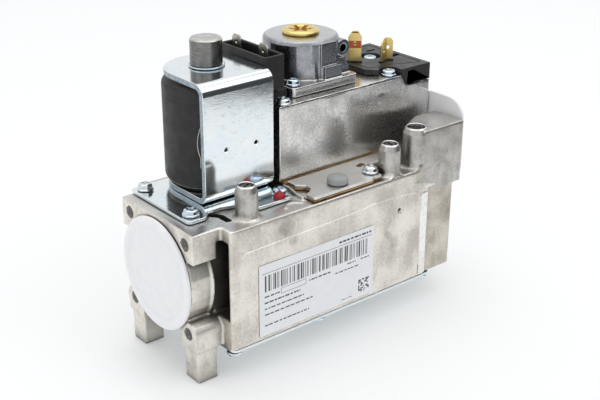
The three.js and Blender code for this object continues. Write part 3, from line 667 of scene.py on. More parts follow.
def dust() -> bpy.types.NodeTree:
    """A mask of small bright specks that lie more on upward faces: dust, and a painted sheen that greys the
    tops of black mouldings.
    """

    def build(graph: Graph, given: Given) -> dict[str, Socket]:
        """Makes the nodes of the dust and its painted sheen."""
        specks = graph.spread(graph.noise(3.4, 2.0), 0.66, 0.74)
        up = graph.add("SeparateXYZ", {0: graph.add("NewGeometry").outputs["Normal"]}).outputs["Z"]
        # More on upward faces: dust settles there, and the greyer tops are a painted sheen.
        lying = graph.spread(up, -0.2, 0.9, 0.25, 1.0)
        return {"Mask": graph.times(graph.times(specks, lying), given("Amount"))}

    return group("Dust and painted top sheen", {"Amount": 0.3}, {"Mask": "Float"}, build)


def plating() -> bpy.types.NodeTree:
    """Bright zinc: a cloudy film whose tint drifts between blue and straw, with fine scuffs."""

    def build(graph: Graph, given: Given) -> dict[str, Socket]:
        """Makes the film's nodes."""
        cloud = graph.noise(0.09, 4.0)
        tint = graph.blend(graph.spread(cloud, 0.42, 0.66), given("Light"), given("Dark"))
        scuff = graph.spread(graph.noise(0.5, 6.0, (1.0, 1.0, 3.5)), 0.58, 0.7)
        colour = graph.blend(graph.times(scuff, 0.3), tint, rgba((0.55, 0.58, 0.6)))
        worn = graph.plus(graph.times(graph.noise(0.35, 5.0), 0.7), graph.times(scuff, 0.5))
        rough = graph.math(
            "MULTIPLY_ADD", graph.spread(worn, 0.25, 0.75), given("Rough Range"), given("Rough")
        )
        height = graph.plus(cloud, graph.times(graph.noise(2.4, 3.0), 0.3))
        return {"Color": colour, "Roughness": rough, "Height": height}

    inputs = {
        "Light": rgba((0.74, 0.82, 0.88)),
        "Dark": rgba((0.86, 0.86, 0.82)),
        "Rough": 0.14,
        "Rough Range": 0.12,
    }
    return group("Zinc film", inputs, SURFACE, build)


def tool_lines() -> bpy.types.NodeTree:
    """Fine lines left by a lathe or a brush, drawn out across one axis."""

    def build(graph: Graph, given: Given) -> dict[str, Socket]:
        """Makes the lines' nodes."""
        place = graph.add("TexCoord").outputs["Object"]
        drawn = graph.add(
            "VectorMath", {0: place, 1: given("Lines per Metre")}, operation="MULTIPLY"
        ).outputs[0]
        lines = graph.add("TexNoise", {"Vector": drawn, "Scale": 1.0, "Detail": 4.0}).outputs["Fac"]
        cloud = graph.noise(0.25, 3.0)
        both = graph.plus(graph.times(lines, 0.7), graph.times(cloud, 0.3))
        colour = graph.blend(graph.spread(both, 0.35, 0.65), given("Light"), given("Dark"))
        rough = graph.math(
            "MULTIPLY_ADD", graph.spread(both, 0.3, 0.7), given("Rough Range"), given("Rough")
        )
        return {"Color": colour, "Roughness": rough, "Height": lines}

    inputs = {
        "Light": rgba((0.6, 0.6, 0.58)),
        "Dark": rgba((0.45, 0.44, 0.42)),
        "Lines per Metre": (300.0, 300.0, 6000.0),
        "Rough": 0.25,
        "Rough Range": 0.12,
    }
    return group("Tool lines", inputs, SURFACE, build)


# ---- Finishes -------------------------------------------------------------------------


@dataclass(frozen=True)
class Finish:
    """What every finish has: a name, the record's slot, two tones and a roughness."""

    name: str
    slot: str
    light: Colour
    dark: Colour
    rough: float
    rough_range: float = 0.1
    metallic: ClassVar[float] = 1.0

    def material(self) -> bpy.types.Material:
        """The finish's material, made the first time that it is asked for."""
        if self.name in bpy.data.materials:
            return bpy.data.materials[self.name]
        material = bpy.data.materials.new(self.name)
        material.use_nodes = True
        graph = Graph(material.node_tree)
        shader = material.node_tree.nodes["Principled BSDF"]
        self.dress(graph, shader)
        return material

    def dress(self, graph: Graph, shader: bpy.types.Node) -> None:
        """Sets the shader's sockets."""
        raise NotImplementedError

    @staticmethod
    def place(graph: Graph, tree: bpy.types.NodeTree, values: dict[str, object]) -> bpy.types.Node:
        """Puts a shared effect in a material with the finish's values."""
        node = graph.add("Group", node_tree=tree)
        for key, value in values.items():
            node.inputs[key].default_value = value
        return node

    @staticmethod
    def worn(
        graph: Graph, colour: Socket, bright: Colour, width: float, share: float
    ) -> tuple[Socket, Socket]:
        """Brightens a colour on edges.

        Args:
            graph: the material's nodes.
            colour: the colour between the edges.
            bright: the colour of a worn edge.
            width: how far the wear reaches from an edge, in millimetres.
            share: how much of the bright colour an edge takes.

        Returns:
            The new colour and how worn each point is.
        """
        wear = graph.add("Group", node_tree=edge_wear())
        wear.inputs["Width"].default_value = width * MM
        mask = graph.times(wear.outputs["Mask"], share)
        return graph.blend(mask, colour, rgba(tuple(min(1.0, c) for c in bright))), mask

    def tones(self) -> dict[str, object]:
        """The values that every surface effect takes."""
        light, dark = rgba(self.light), rgba(self.dark)
        return {"Light": light, "Dark": dark, "Rough": self.rough, "Rough Range": self.rough_range}

    def feed(
        self, graph: Graph, shader: bpy.types.Node, colour: Socket, rough: Socket, height: Socket
    ) -> None:
        """Joins a colour, a roughness and a relief of the finish's own depth to the shader.

        Args:
            graph: the material's nodes.
            shader: the shader.
            colour: what feeds its base colour.
            rough: what feeds its roughness.
            height: what its normal follows.
        """
        graph.link(colour, shader.inputs["Base Color"])
        graph.link(rough, shader.inputs["Roughness"])
        shader.inputs["Metallic"].default_value = self.metallic
        relief = {"Height": height, "Distance": self.relief * MM, "Strength": 1.0}
        graph.link(graph.add("Bump", relief).outputs["Normal"], shader.inputs["Normal"])


@dataclass(frozen=True)
class CastMetal(Finish):
    """Metal that keeps its skin from the mould, brighter on edges and where it is machined."""

    rough_range: float = 0.14
    blotch: float = 0.3
    # Strength of the soiling and painted shade in corners.
    grime_and_corner_shade: float = 0.65
    relief: float = 0.035
    # Strength of the painted shade in deep hollows.
    shade: float = 0.55
    smudge: float = 0.3
    machined_level: float | None = None
    machined: Colour = (0.6, 0.6, 0.595)

    def dress(self, graph: Graph, shader: bpy.types.Node) -> None:
        """Joins the cast skin, the edge wear and the machined level to the shader."""
        own = {"Blotch Size": self.blotch, "Grime": self.grime_and_corner_shade, "Shade": self.shade, "Smudge": self.smudge}
        skin = self.place(graph, cast_skin(), self.tones() | own)
        bright = tuple(1.22 * c for c in self.light)
        colour, worn = self.worn(graph, skin.outputs["Color"], bright, 0.6, 0.55)
        rough = graph.math("SUBTRACT", skin.outputs["Roughness"], graph.times(worn, 0.12))
        if self.machined_level is not None:
            flat = self.faced(graph)
            colour = graph.blend(graph.times(flat, 0.6), colour, rgba(self.machined))
            rough = graph.math("SUBTRACT", rough, graph.times(flat, 0.12))
        self.feed(graph, shader, colour, rough, skin.outputs["Height"])

    def faced(self, graph: Graph) -> Socket:
        """A mask of the upward faces at the machined level."""
        geometry = graph.add("NewGeometry")
        up = graph.add("SeparateXYZ", {0: geometry.outputs["Normal"]}).outputs["Z"]
        level = graph.add("SeparateXYZ", {0: geometry.outputs["Position"]}).outputs["Z"]
        off = graph.math("ABSOLUTE", graph.math("SUBTRACT", level, self.machined_level * MM))
        return graph.times(graph.spread(off, 0.5 * MM, 0.2 * MM), graph.spread(up, 0.8, 0.97))


@dataclass(frozen=True)
class Plated(Finish):
    """Bright zinc plating on steel, from blue where it is light to straw."""

    relief: float = 0.05

    def dress(self, graph: Graph, shader: bpy.types.Node) -> None:
        """Joins the zinc film to the shader."""
        film = self.place(graph, plating(), self.tones())
        colour, _ = self.worn(graph, film.outputs["Color"], (0.93, 0.95, 0.96), 0.25, 0.4)
        self.feed(graph, shader, colour, film.outputs["Roughness"], film.outputs["Height"])


@dataclass(frozen=True)
class ToolMarked(Finish):
    """Metal turned, stamped or brushed, with fine lines."""

    rough_range: float = 0.12
    lines: Triple = (300.0, 300.0, 6000.0)
    relief: float = 0.01

    def dress(self, graph: Graph, shader: bpy.types.Node) -> None:
        """Joins the tool lines to the shader."""
        marks = self.place(graph, tool_lines(), self.tones() | {"Lines per Metre": self.lines})
        bright = tuple(1.25 * c for c in self.light)
        colour, _ = self.worn(graph, marks.outputs["Color"], bright, 0.2, 0.5)
        self.feed(graph, shader, colour, marks.outputs["Roughness"], marks.outputs["Height"])


@dataclass(frozen=True)
class Moulded(Finish):
    """Plastic, rubber, board or paint with a fine grain."""

    grain: float = 6.0
    relief: float = 0.012
    dust_and_sheen: float = 0.0
    dust_and_sheen_colour: Colour = (0.35, 0.35, 0.36)
    coat: float = 0.0
    glow_through: float = 0.0
    specular: float = 0.5
    metallic: ClassVar[float] = 0.0

    def dress(self, graph: Graph, shader: bpy.types.Node) -> None:
        """Joins the grain, and the dust with its painted top sheen, to the shader."""
        body = self.place(graph, fine_grain(), self.tones() | {"Grain": self.grain})
        colour = body.outputs["Color"]
        if self.dust_and_sheen > 0:
            specks = self.place(graph, dust(), {"Amount": self.dust_and_sheen})
            colour = graph.blend(specks.outputs["Mask"], colour, rgba(self.dust_and_sheen_colour))
        shader.inputs["Specular IOR Level"].default_value = self.specular
        shader.inputs["Coat Weight"].default_value = self.coat
        shader.inputs["Coat Roughness"].default_value = 0.12
        if self.glow_through > 0:
            shader.inputs["Subsurface Weight"].default_value = self.glow_through
            shader.inputs["Subsurface Radius"].default_value = (1.0, 0.9, 0.8)
            shader.inputs["Subsurface Scale"].default_value = 1.5 * MM
        self.feed(graph, shader, colour, body.outputs["Roughness"], body.outputs["Height"])


CAST_ALUMINIUM = CastMetal(
    "as-cast aluminium", "cast_aluminium", (0.87, 0.835, 0.775), (0.64, 0.6, 0.54), 0.38, blotch=0.08,
    relief=0.05, shade=0.95, smudge=0.42, machined_level=69.3
)
RAISED_ALUMINIUM = CastMetal(
    "brushed raised block", "cast_aluminium", (0.62, 0.605, 0.575), (0.44, 0.424, 0.395), 0.32,
    blotch=0.12, relief=0.05, smudge=0.4
)
# Darker tones paint the shade on the face set back beside the rib, under the raised block.
SHADED_SET_BACK_ALUMINIUM = CastMetal(
    "set-back casting with painted shade", "cast_aluminium", (0.7, 0.655, 0.585), (0.5, 0.46, 0.4), 0.4, blotch=0.1,
    relief=0.05, smudge=0.4
)
NIPPLE_ALUMINIUM = CastMetal(
    "turned nipple", "cast_aluminium", (0.56, 0.545, 0.515), (0.4, 0.386, 0.36), 0.3, blotch=0.14,
    relief=0.05
)
# Bright metal: faced on the nipples' rims, and a painted highlight on the side rib.
FACED_RIM_AND_RIB_HIGHLIGHT = CastMetal(
    "faced rim", "cast_aluminium", (0.92, 0.92, 0.9), (0.8, 0.79, 0.77), 0.2, grime_and_corner_shade=0.1, relief=0.01
)
PLATE_ALUMINIUM = CastMetal(
    "satin aluminium plate", "cast_aluminium", (0.86, 0.85, 0.82), (0.75, 0.735, 0.705), 0.28, 0.1, 0.12,
    0.3, 0.015, 0.1
)
DIE_CAST = CastMetal(
    "die-cast alloy", "die_cast_alloy", (0.84, 0.83, 0.81), (0.69, 0.683, 0.67), 0.2, 0.12, 0.07, 0.4,
    0.025, 0.0
)
REGULATOR_CAST = CastMetal(
    "blasted die-cast alloy", "die_cast_alloy", (0.4, 0.41, 0.435), (0.27, 0.28, 0.3), 0.22, 0.12, 0.12,
    0.55, 0.025,
    machined_level=127.5, machined=(0.66, 0.66, 0.65)
)
ZINC_SHEET = Plated(
    "zinc-plated sheet", "zinc_plate", (0.8, 0.865, 0.9), (0.86, 0.885, 0.885), 0.1, 0.08, 0.04
)
ZINC_SCREW = Plated("zinc-plated screw", "screw_zinc", (0.62, 0.71, 0.8), (0.78, 0.8, 0.79), 0.14, 0.12)
SHEARED_EDGE = ToolMarked(
    "sheared sheet edge", "zinc_plate", (0.4, 0.46, 0.5), (0.26, 0.31, 0.35), 0.3,
    lines=(900.0, 900.0, 900.0)
)
TURNED_STEEL = ToolMarked(
    "turned stainless steel", "turned_steel", (0.27, 0.268, 0.26), (0.15, 0.148, 0.142), 0.2
)
FACED_STEEL = ToolMarked(
    "faced stainless steel", "turned_steel", (0.62, 0.61, 0.58), (0.46, 0.45, 0.43), 0.24
)
TINNED = ToolMarked(
    "tinned blade", "tinned_blade", (0.5, 0.48, 0.43), (0.38, 0.365, 0.32), 0.3,
    lines=(900.0, 900.0, 900.0)
)
BRASS = ToolMarked(
    "brass", "brass", (0.88, 0.72, 0.32), (0.76, 0.58, 0.22), 0.17, 0.12, (700.0, 700.0, 2500.0)
)
# Its dust is raised to paint the grey sheen on its top faces.
BLACK_PLASTIC = Moulded(
    "black moulding", "black_plastic", (0.024, 0.023, 0.025), (0.015, 0.0145, 0.0155), 0.36, 0.1, 5.0,
    0.012, dust_and_sheen=0.2
)
COIL_PLASTIC = Moulded(
    "coil wrapping", "black_plastic", (0.015, 0.0135, 0.0135), (0.009, 0.0085, 0.0085), 0.46, 0.12, 3.5,
    0.025, dust_and_sheen=0.08
)
BOBBIN_FILM = Moulded("bobbin film", "black_plastic", (0.36, 0.32, 0.27), (0.24, 0.21, 0.17), 0.4)
SEAL_RUBBER = Moulded("black seal rubber", "seal_rubber", (0.028, 0.028, 0.028), (0.02, 0.02, 0.02), 0.62)
GREY_RUBBER = Moulded(
    "grey rubber", "grey_rubber", (0.36, 0.37, 0.365), (0.29, 0.3, 0.3), 0.6, 0.12, 4.0, 0.02
)
GASKET_BOARD = Moulded(
    "fibre gasket board", "gasket_board", (0.62, 0.4, 0.18), (0.36, 0.2, 0.07), 0.8, 0.1, 3.0, 0.06
)
WHITE_CAP = Moulded(
    "white cap plastic", "white_plastic", (0.89, 0.89, 0.905), (0.86, 0.862, 0.88), 0.42, 0.1, 2.2, 0.01,
    glow_through=0.4
)
LABEL_FILM = Moulded(
    "label film", "label_paper", (0.89, 0.9, 0.92), (0.86, 0.87, 0.895), 0.4, 0.1, 4.0, 0.004
)
PRINT_INK = Moulded("label ink", "label_paper", (0.05, 0.05, 0.055), (0.035, 0.035, 0.04), 0.45)
RED_PAINT = Moulded(
    "red sealing paint", "screw_zinc", (0.42, 0.006, 0.004), (0.24, 0.003, 0.003), 0.3, 0.1, 1.2, 0.03,
    coat=0.25, specular=0.35
)
ORANGE_PATCH = Moulded("orange mark", "brass", (0.6, 0.12, 0.03), (0.48, 0.08, 0.02), 0.35)
# Darker metal on the walls of the flange's tapped holes.
TAPPED_BORE = ToolMarked("darkened tapped bore", "cast_aluminium", (0.3, 0.29, 0.275), (0.16, 0.155, 0.15), 0.3)
WIRE_ENAMEL = Moulded("enamelled wire", "black_plastic", (0.62, 0.56, 0.5), (0.45, 0.4, 0.36), 0.3)


# ---- The bench ------------------------------------------------------------------------


@dataclass
class Bench:
    """Puts finished pieces in the frame and reports them."""

    names: list[str] = field(default_factory=list)

    def place(
        self,
        name: str,
        solid: Solid,
        finish: Finish,
        stands_for: Sequence[str] = (),
        rides: Rides = Rides.VALVE,
        sharp: float = 38.0,
        trims: Sequence[tuple[Finish, Callable[[Vector, Vector], bool]]] = (),
    ) -> bpy.types.Object:
        """Makes a piece of a solid.

        Args:
            name: the piece's name.
            solid: its shape in the valve's own layout.
            finish: its finish.
            stands_for: the frame's nodes that it replaces.
            rides: the body that it moves with.
            sharp: the angle in degrees past which an edge is drawn sharp.
            trims: further finishes, each with a test of a face's middle and normal.

        Returns:
            The object.
        """
        mesh = solid.mesh
        mesh.name = name
        mesh.materials.clear()
        mesh.materials.append(finish.material())
        for face in mesh.polygons:
            face.material_index = 0
        for index, (second, belongs) in enumerate(trims, 1):
            mesh.materials.append(second.material())
            for face in mesh.polygons:
                if belongs(face.center, face.normal):
                    face.material_index = index
        mesh.transform(layout_to_frame())
        mesh.shade_smooth()
        mesh.set_sharp_from_angle(angle=math.radians(sharp))
        piece = bpy.data.objects.new(name, mesh)
        bpy.context.scene.collection.objects.link(piece)
        weighted = piece.modifiers.new("even shading", "WEIGHTED_NORMAL")
        weighted.keep_sharp = True
        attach(piece, rides.value)
        if stands_for:
            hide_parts(*stands_for)
        self.names.append(name)
        log.info("%s: %d faces, %s", name, len(mesh.polygons), finish.name)
        return piece

    def carry(self, node: str, finish: Finish, ease: float = 0.15) -> None:
        """Keeps a node of the frame, eases its edges and gives it a finish.

        Args:
            node: the node.
            finish: its finish.
            ease: how far its edges are cut back, or zero to leave them.
        """
        piece = frame["nodes"][node]
        piece.data.materials.clear()
        piece.data.materials.append(finish.material())
        weld = piece.modifiers.new("weld", "WELD")
        weld.merge_threshold = 0.001 * MM
        if ease > 0:
            bevel = piece.modifiers.new("eased edges", "BEVEL")
            bevel.width = ease * MM
            bevel.segments = 2
            bevel.angle_limit = math.radians(40)
        piece.data.shade_smooth()
        weighted = piece.modifiers.new("even shading", "WEIGHTED_NORMAL")
        weighted.keep_sharp = True
        self.names.append(node)
        log.info("%s: kept, %s", node, finish.name)


# ---- Fasteners ------------------------------------------------------------------------


@dataclass(frozen=True)
class PanScrew:
    """A cross-recessed screw whose pan head has a wide collar."""

    head: float = 3.6
    height: float = 2.9
    shank: float = 1.7
    length: float = 8.0

    def solid(self, turn: float) -> Solid:
        """The screw with its head's seat at zero.

        Args:
            turn: how far it is turned about its axis, in degrees.

        Returns:
            The solid.
        """
        collar = 0.32 * self.height
        waist = 0.86 * self.head
        crown = [
            (0, -self.length), (self.shank - 0.4, -self.length), (self.shank, -self.length + 0.5),
            (self.shank, 0), (self.head - 0.15, 0), (self.head, 0.15), (self.head, collar - 0.15),
            (self.head - 0.2, collar), (waist + 0.1, collar + 0.05), (waist, collar + 0.2),
            (waist, 0.66 * self.height), (waist - 0.25, 0.83 * self.height),
            (waist - 0.75, 0.95 * self.height), (waist - 1.35, self.height), (0, self.height),
        ]
        return Solid.turned(crown, count=40).cut(*self.recess()).moved(stood_at(0, 0, 0, turn))

    def recess(self) -> list[Solid]:
        """The cross recess: two tapered bars and a middle cone."""
        depth = 0.62 * self.height
        reach = 0.56 * self.head
        wing = 0.15 * self.head
        floor = self.height - depth
        top = self.height + 0.4
        bars = []
        for quarter in (0, 1):
            rings = [
                [(x, y, floor) for x, y in rectangle(-0.6 * reach, -0.6 * wing, 0.6 * reach, 0.6 * wing)],
                [(x, y, top) for x, y in rectangle(-1.08 * reach, -1.15 * wing, 1.08 * reach, 1.15 * wing)],
            ]
            bars.append(Solid.from_rings(rings).moved(Matrix.Rotation(quarter * math.pi / 2, 4, "Z")))
        cone = [(0, floor - 0.3), (0.17 * self.head, floor), (0.33 * self.head, top), (0, top)]
        return [*bars, Solid.turned(cone, count=16)]


def place_screw(
    bench: Bench, node: str, screw: PanScrew, at: Triple, turn: float, axis: Axis = Axis.UP
) -> bpy.types.Object:
    """Puts a screw where its node of the frame is.

    Args:
        bench: where finished pieces go.
        node: the node of the frame that the screw stands for.
        screw: its sizes.
        at: where its head's seat is.
        turn: how far it is turned about its axis, in degrees.
        axis: the way that its head faces.

    Returns:
        The screw.
    """
    solid = screw.solid(turn).moved(Matrix.Translation(at) @ axis.value)
    return bench.place(f"{node}_plated", solid, ZINC_SCREW, [node], sharp=34)


# ---- Main body casting ----------------------------------------------------------------


@dataclass(frozen=True)
class Nipple:
    """A pressure nipple's axis, radius and height."""

    x: float
    y: float
    radius: float
    top: float


@dataclass
class BodyCasting:
    """The cast body with its flanges, feet, pressure nipples and pockets."""

    front: float = -6.7
    top: float = 69.3
    port: Point = (26.4, 43.15)
    outlet_face: float = 149.9
    bolt_pitch: float = 41.3
    bolt_hole: float = 2.5
    collar: float = 25.2
    voxel: float = 0.5
    relax: int = 4
    share: float = 0.22
    flash: tuple[Point, ...] = ((18.4, 58.2), (55, 58.7), (80, 59.3), (94, 60.2), (108, 59.6), (121, 58.4))
    gate: Point = (108.9, 52.4)
    nipples: tuple[Nipple, ...] = (
        Nipple(28.3, 1.5, 4.85, 84.0),
        Nipple(106.3, -1.3, 5.0, 84.0),
        Nipple(122.9, -0.75, 5.9, 88.0),
    )
    screw_bodies: tuple[Rides, ...] = (Rides.TEST_SCREW_A, Rides.TEST_SCREW_B, Rides.TEST_SCREW_C)
    back_screws: tuple[Point, ...] = ((63.2, 57.5), (112.6, 57.5))
    screw_hole: float = 2.1
    boss: float = 3.7
    rib: Point = (122.4, 126.3)
    step_left: float = 126.4
    step_top: float = 56.8

    def build(self, bench: Bench) -> None:
        """Makes the casting, its flash and the nipples' screws."""
        casting = Solid.from_node("main_body").joined(*self.added()).cut(*self.removed())
        casting = casting.cast(self.voxel, self.relax, self.share).displaced(self.unevenness)
        casting = casting.joined(*self.crisp()).cut(*self.machining())
        trims = [
            # The set-back face takes painted shade.
            (RAISED_ALUMINIUM, self.on_raised_block), (SHADED_SET_BACK_ALUMINIUM, self.on_set_back),
            # The side rib takes a painted highlight.
            (FACED_RIM_AND_RIB_HIGHLIGHT, self.on_rib), (NIPPLE_ALUMINIUM, self.on_nipple),
            (FACED_RIM_AND_RIB_HIGHLIGHT, self.on_nipple_rim), (TAPPED_BORE, self.in_a_bore),
        ]
        bench.place("body_casting", casting, CAST_ALUMINIUM, ["main_body"], sharp=50, trims=trims)
        bench.place("parting_flash", self.flash_ridge(), CAST_ALUMINIUM, sharp=30)
        for i, (nipple, body) in enumerate(zip(self.nipples, self.screw_bodies)):
            name = f"test_screw_{i + 1}"
            bench.place(
                f"{name}_turned", self.nipple_screw(nipple, 25 + 50 * i), TURNED_STEEL, [name], body, 30
            )

    def added(self) -> list[Solid]:
        """The collar behind the inlet flange, the embossed arc and the back screws' bosses."""
        y, z = self.port
        ring = [(self.collar - 2, 10.3), (self.collar, 10.5), (self.collar, 11.6), (self.collar - 2, 11.75)]
        collar = Solid.turned(ring, (0, y, z), Axis.TO_OUTLET, 128)
        bow = Solid.prism(circle(51, -3.2, 5.2, 40), self.top - 0.5, self.top + 0.35, 0.1)
        arc = bow.cut(
            Solid.prism(circle(51, -3.2, 4.3, 40), self.top - 1, self.top + 1, 0),
            Solid.block((40, -12, self.top - 1), (60, -1.6, self.top + 1), 0),
        )
        bosses = (
            Solid.prism(circle(x, y, self.boss, 40), self.top - 11, self.top, 0)
            for x, y in self.back_screws
        )
        return [collar, arc, *bosses]

    def removed(self) -> list[Solid]:
        """The pit in the side and the face set back beside the rib."""
        x, z = self.gate
        pit = Solid.turned(
            [(0, -1.8), (0.8, -1.5), (1.2, 0.1), (1.8, 0.8), (0, 0.8)], count=11
        ).moved(pressed_at(x, self.front, z))
        set_back = Solid.block((126.2, self.front - 3, 10), (152, self.front + 1.0, 56.6), 0.2)
        return [pit, set_back]

    def crisp(self) -> list[Solid]:
        """What is machined or sharp on the outside: the nipples and the side rib."""
        rib = Solid.prism(
            rounded(rectangle(self.rib[0], 15.2, self.rib[1], 57.0), 0.3), self.front - 0.48,
            self.front + 2, 0.22
        )
        return [rib.moved(FACING_FRONT), *(self.nipple(n) for n in self.nipples)]

    def nipple(self, nipple: Nipple) -> Solid:
        """A nipple's turned upper part."""
        radius, top = nipple.radius, nipple.top
        profile = [
            (0, self.top - 1), (radius - 0.6, self.top - 1), (radius - 0.3, 72.0), (radius, 72.6),
            (radius, top - 2.75), (radius - 0.06, top - 2.6), (radius - 0.9, top - 0.7),
            (radius - 1.0, top - 0.55), (radius - 1.25, top - 0.12), (radius - 1.45, top), (0, top),
        ]
        return Solid.turned(profile, (nipple.x, nipple.y, 0), count=64)

    def machining(self) -> list[Solid]:
        """The tapped flange holes, the nipples' bores and the crisp hollow in the top face."""
        tools = []
        y, z = self.port
        half = self.bolt_pitch / 2
        for face, axis in ((0, Axis.TO_INLET), (self.outlet_face, Axis.TO_OUTLET)):
            for side in (-half, half):
                for rise in (-half, half):
                    place = Matrix.Translation((face, y + side, z + rise)) @ axis.value
                    tools.append(tapped(self.bolt_hole, 9).moved(place))
        for nipple in self.nipples:
            mouth = nipple.radius - 1.9
            top = nipple.top
            bore = [(0, top - 13), (2.2, top - 12), (2.2, top - 1.6), (mouth, top - 1.6)]
            bore += [(mouth, top - 0.3), (mouth + 0.3, top), (mouth + 1.3, top + 1), (0, top + 1)]
            tools.append(Solid.turned(bore, (nipple.x, nipple.y, 0), count=48))
        tools.extend(
            Solid.prism(circle(x, y, self.screw_hole), self.top - 6, self.top + 1, 0)
            for x, y in self.back_screws
        )
        hollow = [
            (17.4, 14.4), (16.6, 11.6), (18.9, 8.6), (19.0, 2.6), (22.0, 2.4), (22.3, 9.4), (20.4, 12.9)
        ]
        tools.append(Solid.prism(rounded(hollow, 1.2), self.top - 3.2, self.top + 1, 0.3))
        return tools

    def on_raised_block(self, middle: Vector, normal: Vector) -> bool:
        """Whether a face is on the raised block or the nipple that it runs into."""
        above_top = middle.x > 116.5 and middle.z > self.top + 0.8
        over_step = middle.x > self.step_left and middle.z > self.step_top and middle.y < 14
        return above_top or over_step

    def on_rib(self, middle: Vector, normal: Vector) -> bool:
        """Whether a face is on the side rib."""
        left, right = self.rib
        return left - 0.1 < middle.x < right + 0.1 and middle.y < self.front - 0.1 and middle.z < 57.1

    def on_set_back(self, middle: Vector, normal: Vector) -> bool:
        """Whether a face is on the face that is set back beside the rib."""
        return middle.x > 126.2 and middle.y < self.front + 2 and 14 < middle.z < self.step_top

    def on_nipple(self, middle: Vector, normal: Vector) -> bool:
        """Whether a face is on the side of a nipple."""
        return middle.z > 71.5 and any(self.from_axis(middle, n) < n.radius + 0.1 for n in self.nipples)

    def on_nipple_rim(self, middle: Vector, normal: Vector) -> bool:
        """Whether a face is on a nipple's faced rim."""
        return any(
            self.from_axis(middle, n) < n.radius - 1.1 and middle.z > n.top - 0.5 for n in self.nipples
        )

    @staticmethod
    def from_axis(middle: Vector, nipple: Nipple) -> float:
        """A point's distance from a nipple's axis."""
        return math.hypot(middle.x - nipple.x, middle.y - nipple.y)

    def in_a_bore(self, middle: Vector, normal: Vector) -> bool:
        """Whether a face is on the wall of a tapped flange hole."""
        half = self.bolt_pitch / 2
        y, z = self.port
        reach = self.bolt_hole + 0.36
        off = math.hypot(abs(middle.y - y) - half, abs(middle.z - z) - half)
        in_flange = 0.2 < middle.x < 11 or self.outlet_face - 11 < middle.x < self.outlet_face - 0.2
        return in_flange and off < reach

    def nipple_screw(self, nipple: Nipple, turn: float) -> Solid:
        """The slotted screw that closes a nipple.

        Args:
            nipple: the nipple.
            turn: how far the slot is turned, in degrees.

        Returns:
            The solid.
        """
        head = nipple.radius - 2.3
        profile = [
            (0, -11), (1.4, -11), (1.85, -10.4), (1.85, -1.4), (head, -1.4), (head, -0.75),
            (head - 0.25, -0.5), (head - 0.7, -0.4), (0, -0.4),
        ]
        slot = Solid.block((-head - 1, -0.45, -1.1), (head + 1, 0.45, 1), 0.05)
        screw = Solid.turned(profile, count=48).cut(slot)
        return screw.moved(stood_at(nipple.x, nipple.y, nipple.top, turn))

    def unevenness(self, point: Vector) -> Vector:
        """The slight waviness of an as-cast face; the machined top and port faces stay flat."""
        if point.z > self.top - 0.6 or point.x < 0.8 or point.x > 149.1 or point.z < 0.8:
            return Vector()
        wave = noise.noise_vector(point * 0.09) * 0.09 + noise.noise_vector(point * 0.35) * 0.035
        if point.y < self.front + 0.6 and self.flash[0][0] < point.x < self.flash[-1][0]:
            above = min(1.0, max(0.0, (point.z - self.level_of_flash(point.x)) / 0.5 + 0.5))
            wave.y = max(wave.y * 0.6, -0.04) - 0.26 * above
        elif point.y < self.front + 0.3:
            wave.y = max(wave.y, -0.05)
        return wave

    def flash_ridge(self) -> Solid:
        """The torn line of metal that two halves of the mould left on the labelled side."""
        rings = []
        start, end = self.flash[0][0], self.flash[-1][0]
        count = 190
        for i in range(count + 1):
            x = start + (end - start) * i / count
            level = self.level_of_flash(x)
            tear = noise.noise(Vector((x * 0.55, 3.1, 0)))
            chip = noise.noise(Vector((x * 1.9, 7.7, 0)))
            proud = 0.3 + 0.14 * max(0.0, chip) + 0.06 * max(0.0, tear)
            deep = 0.5 + 1.9 * max(0.0, tear + 0.25 * chip) * (1.0 if x > 60 else 0.6)
            fade = min(1.0, i / 6, (count - i) / 6)
            proud *= fade
            rings.append(
                [
                    (x, self.front + 0.4, level + 0.3), (x, self.front - 0.3 * proud, level + 0.25),
                    (x, self.front - proud, level), (x, self.front - 0.75 * proud, level - deep),
                    (x, self.front + 0.05, level - deep - 0.2), (x, self.front + 0.4, level - deep - 0.2),
                ]
            )
        return Solid.from_rings(rings)

    def level_of_flash(self, x: float) -> float:
        """The height of the parting line at a distance from the inlet."""
        for (x0, z0), (x1, z1) in zip(self.flash, self.flash[1:]):
            if x <= x1:
                return z0 + (z1 - z0) * (x - x0) / (x1 - x0) + 0.25 * noise.noise(Vector((x * 0.8, 0, 1.3)))
        return self.flash[-1][1]


# ---- Port caps ------------------------------------------------------------------------


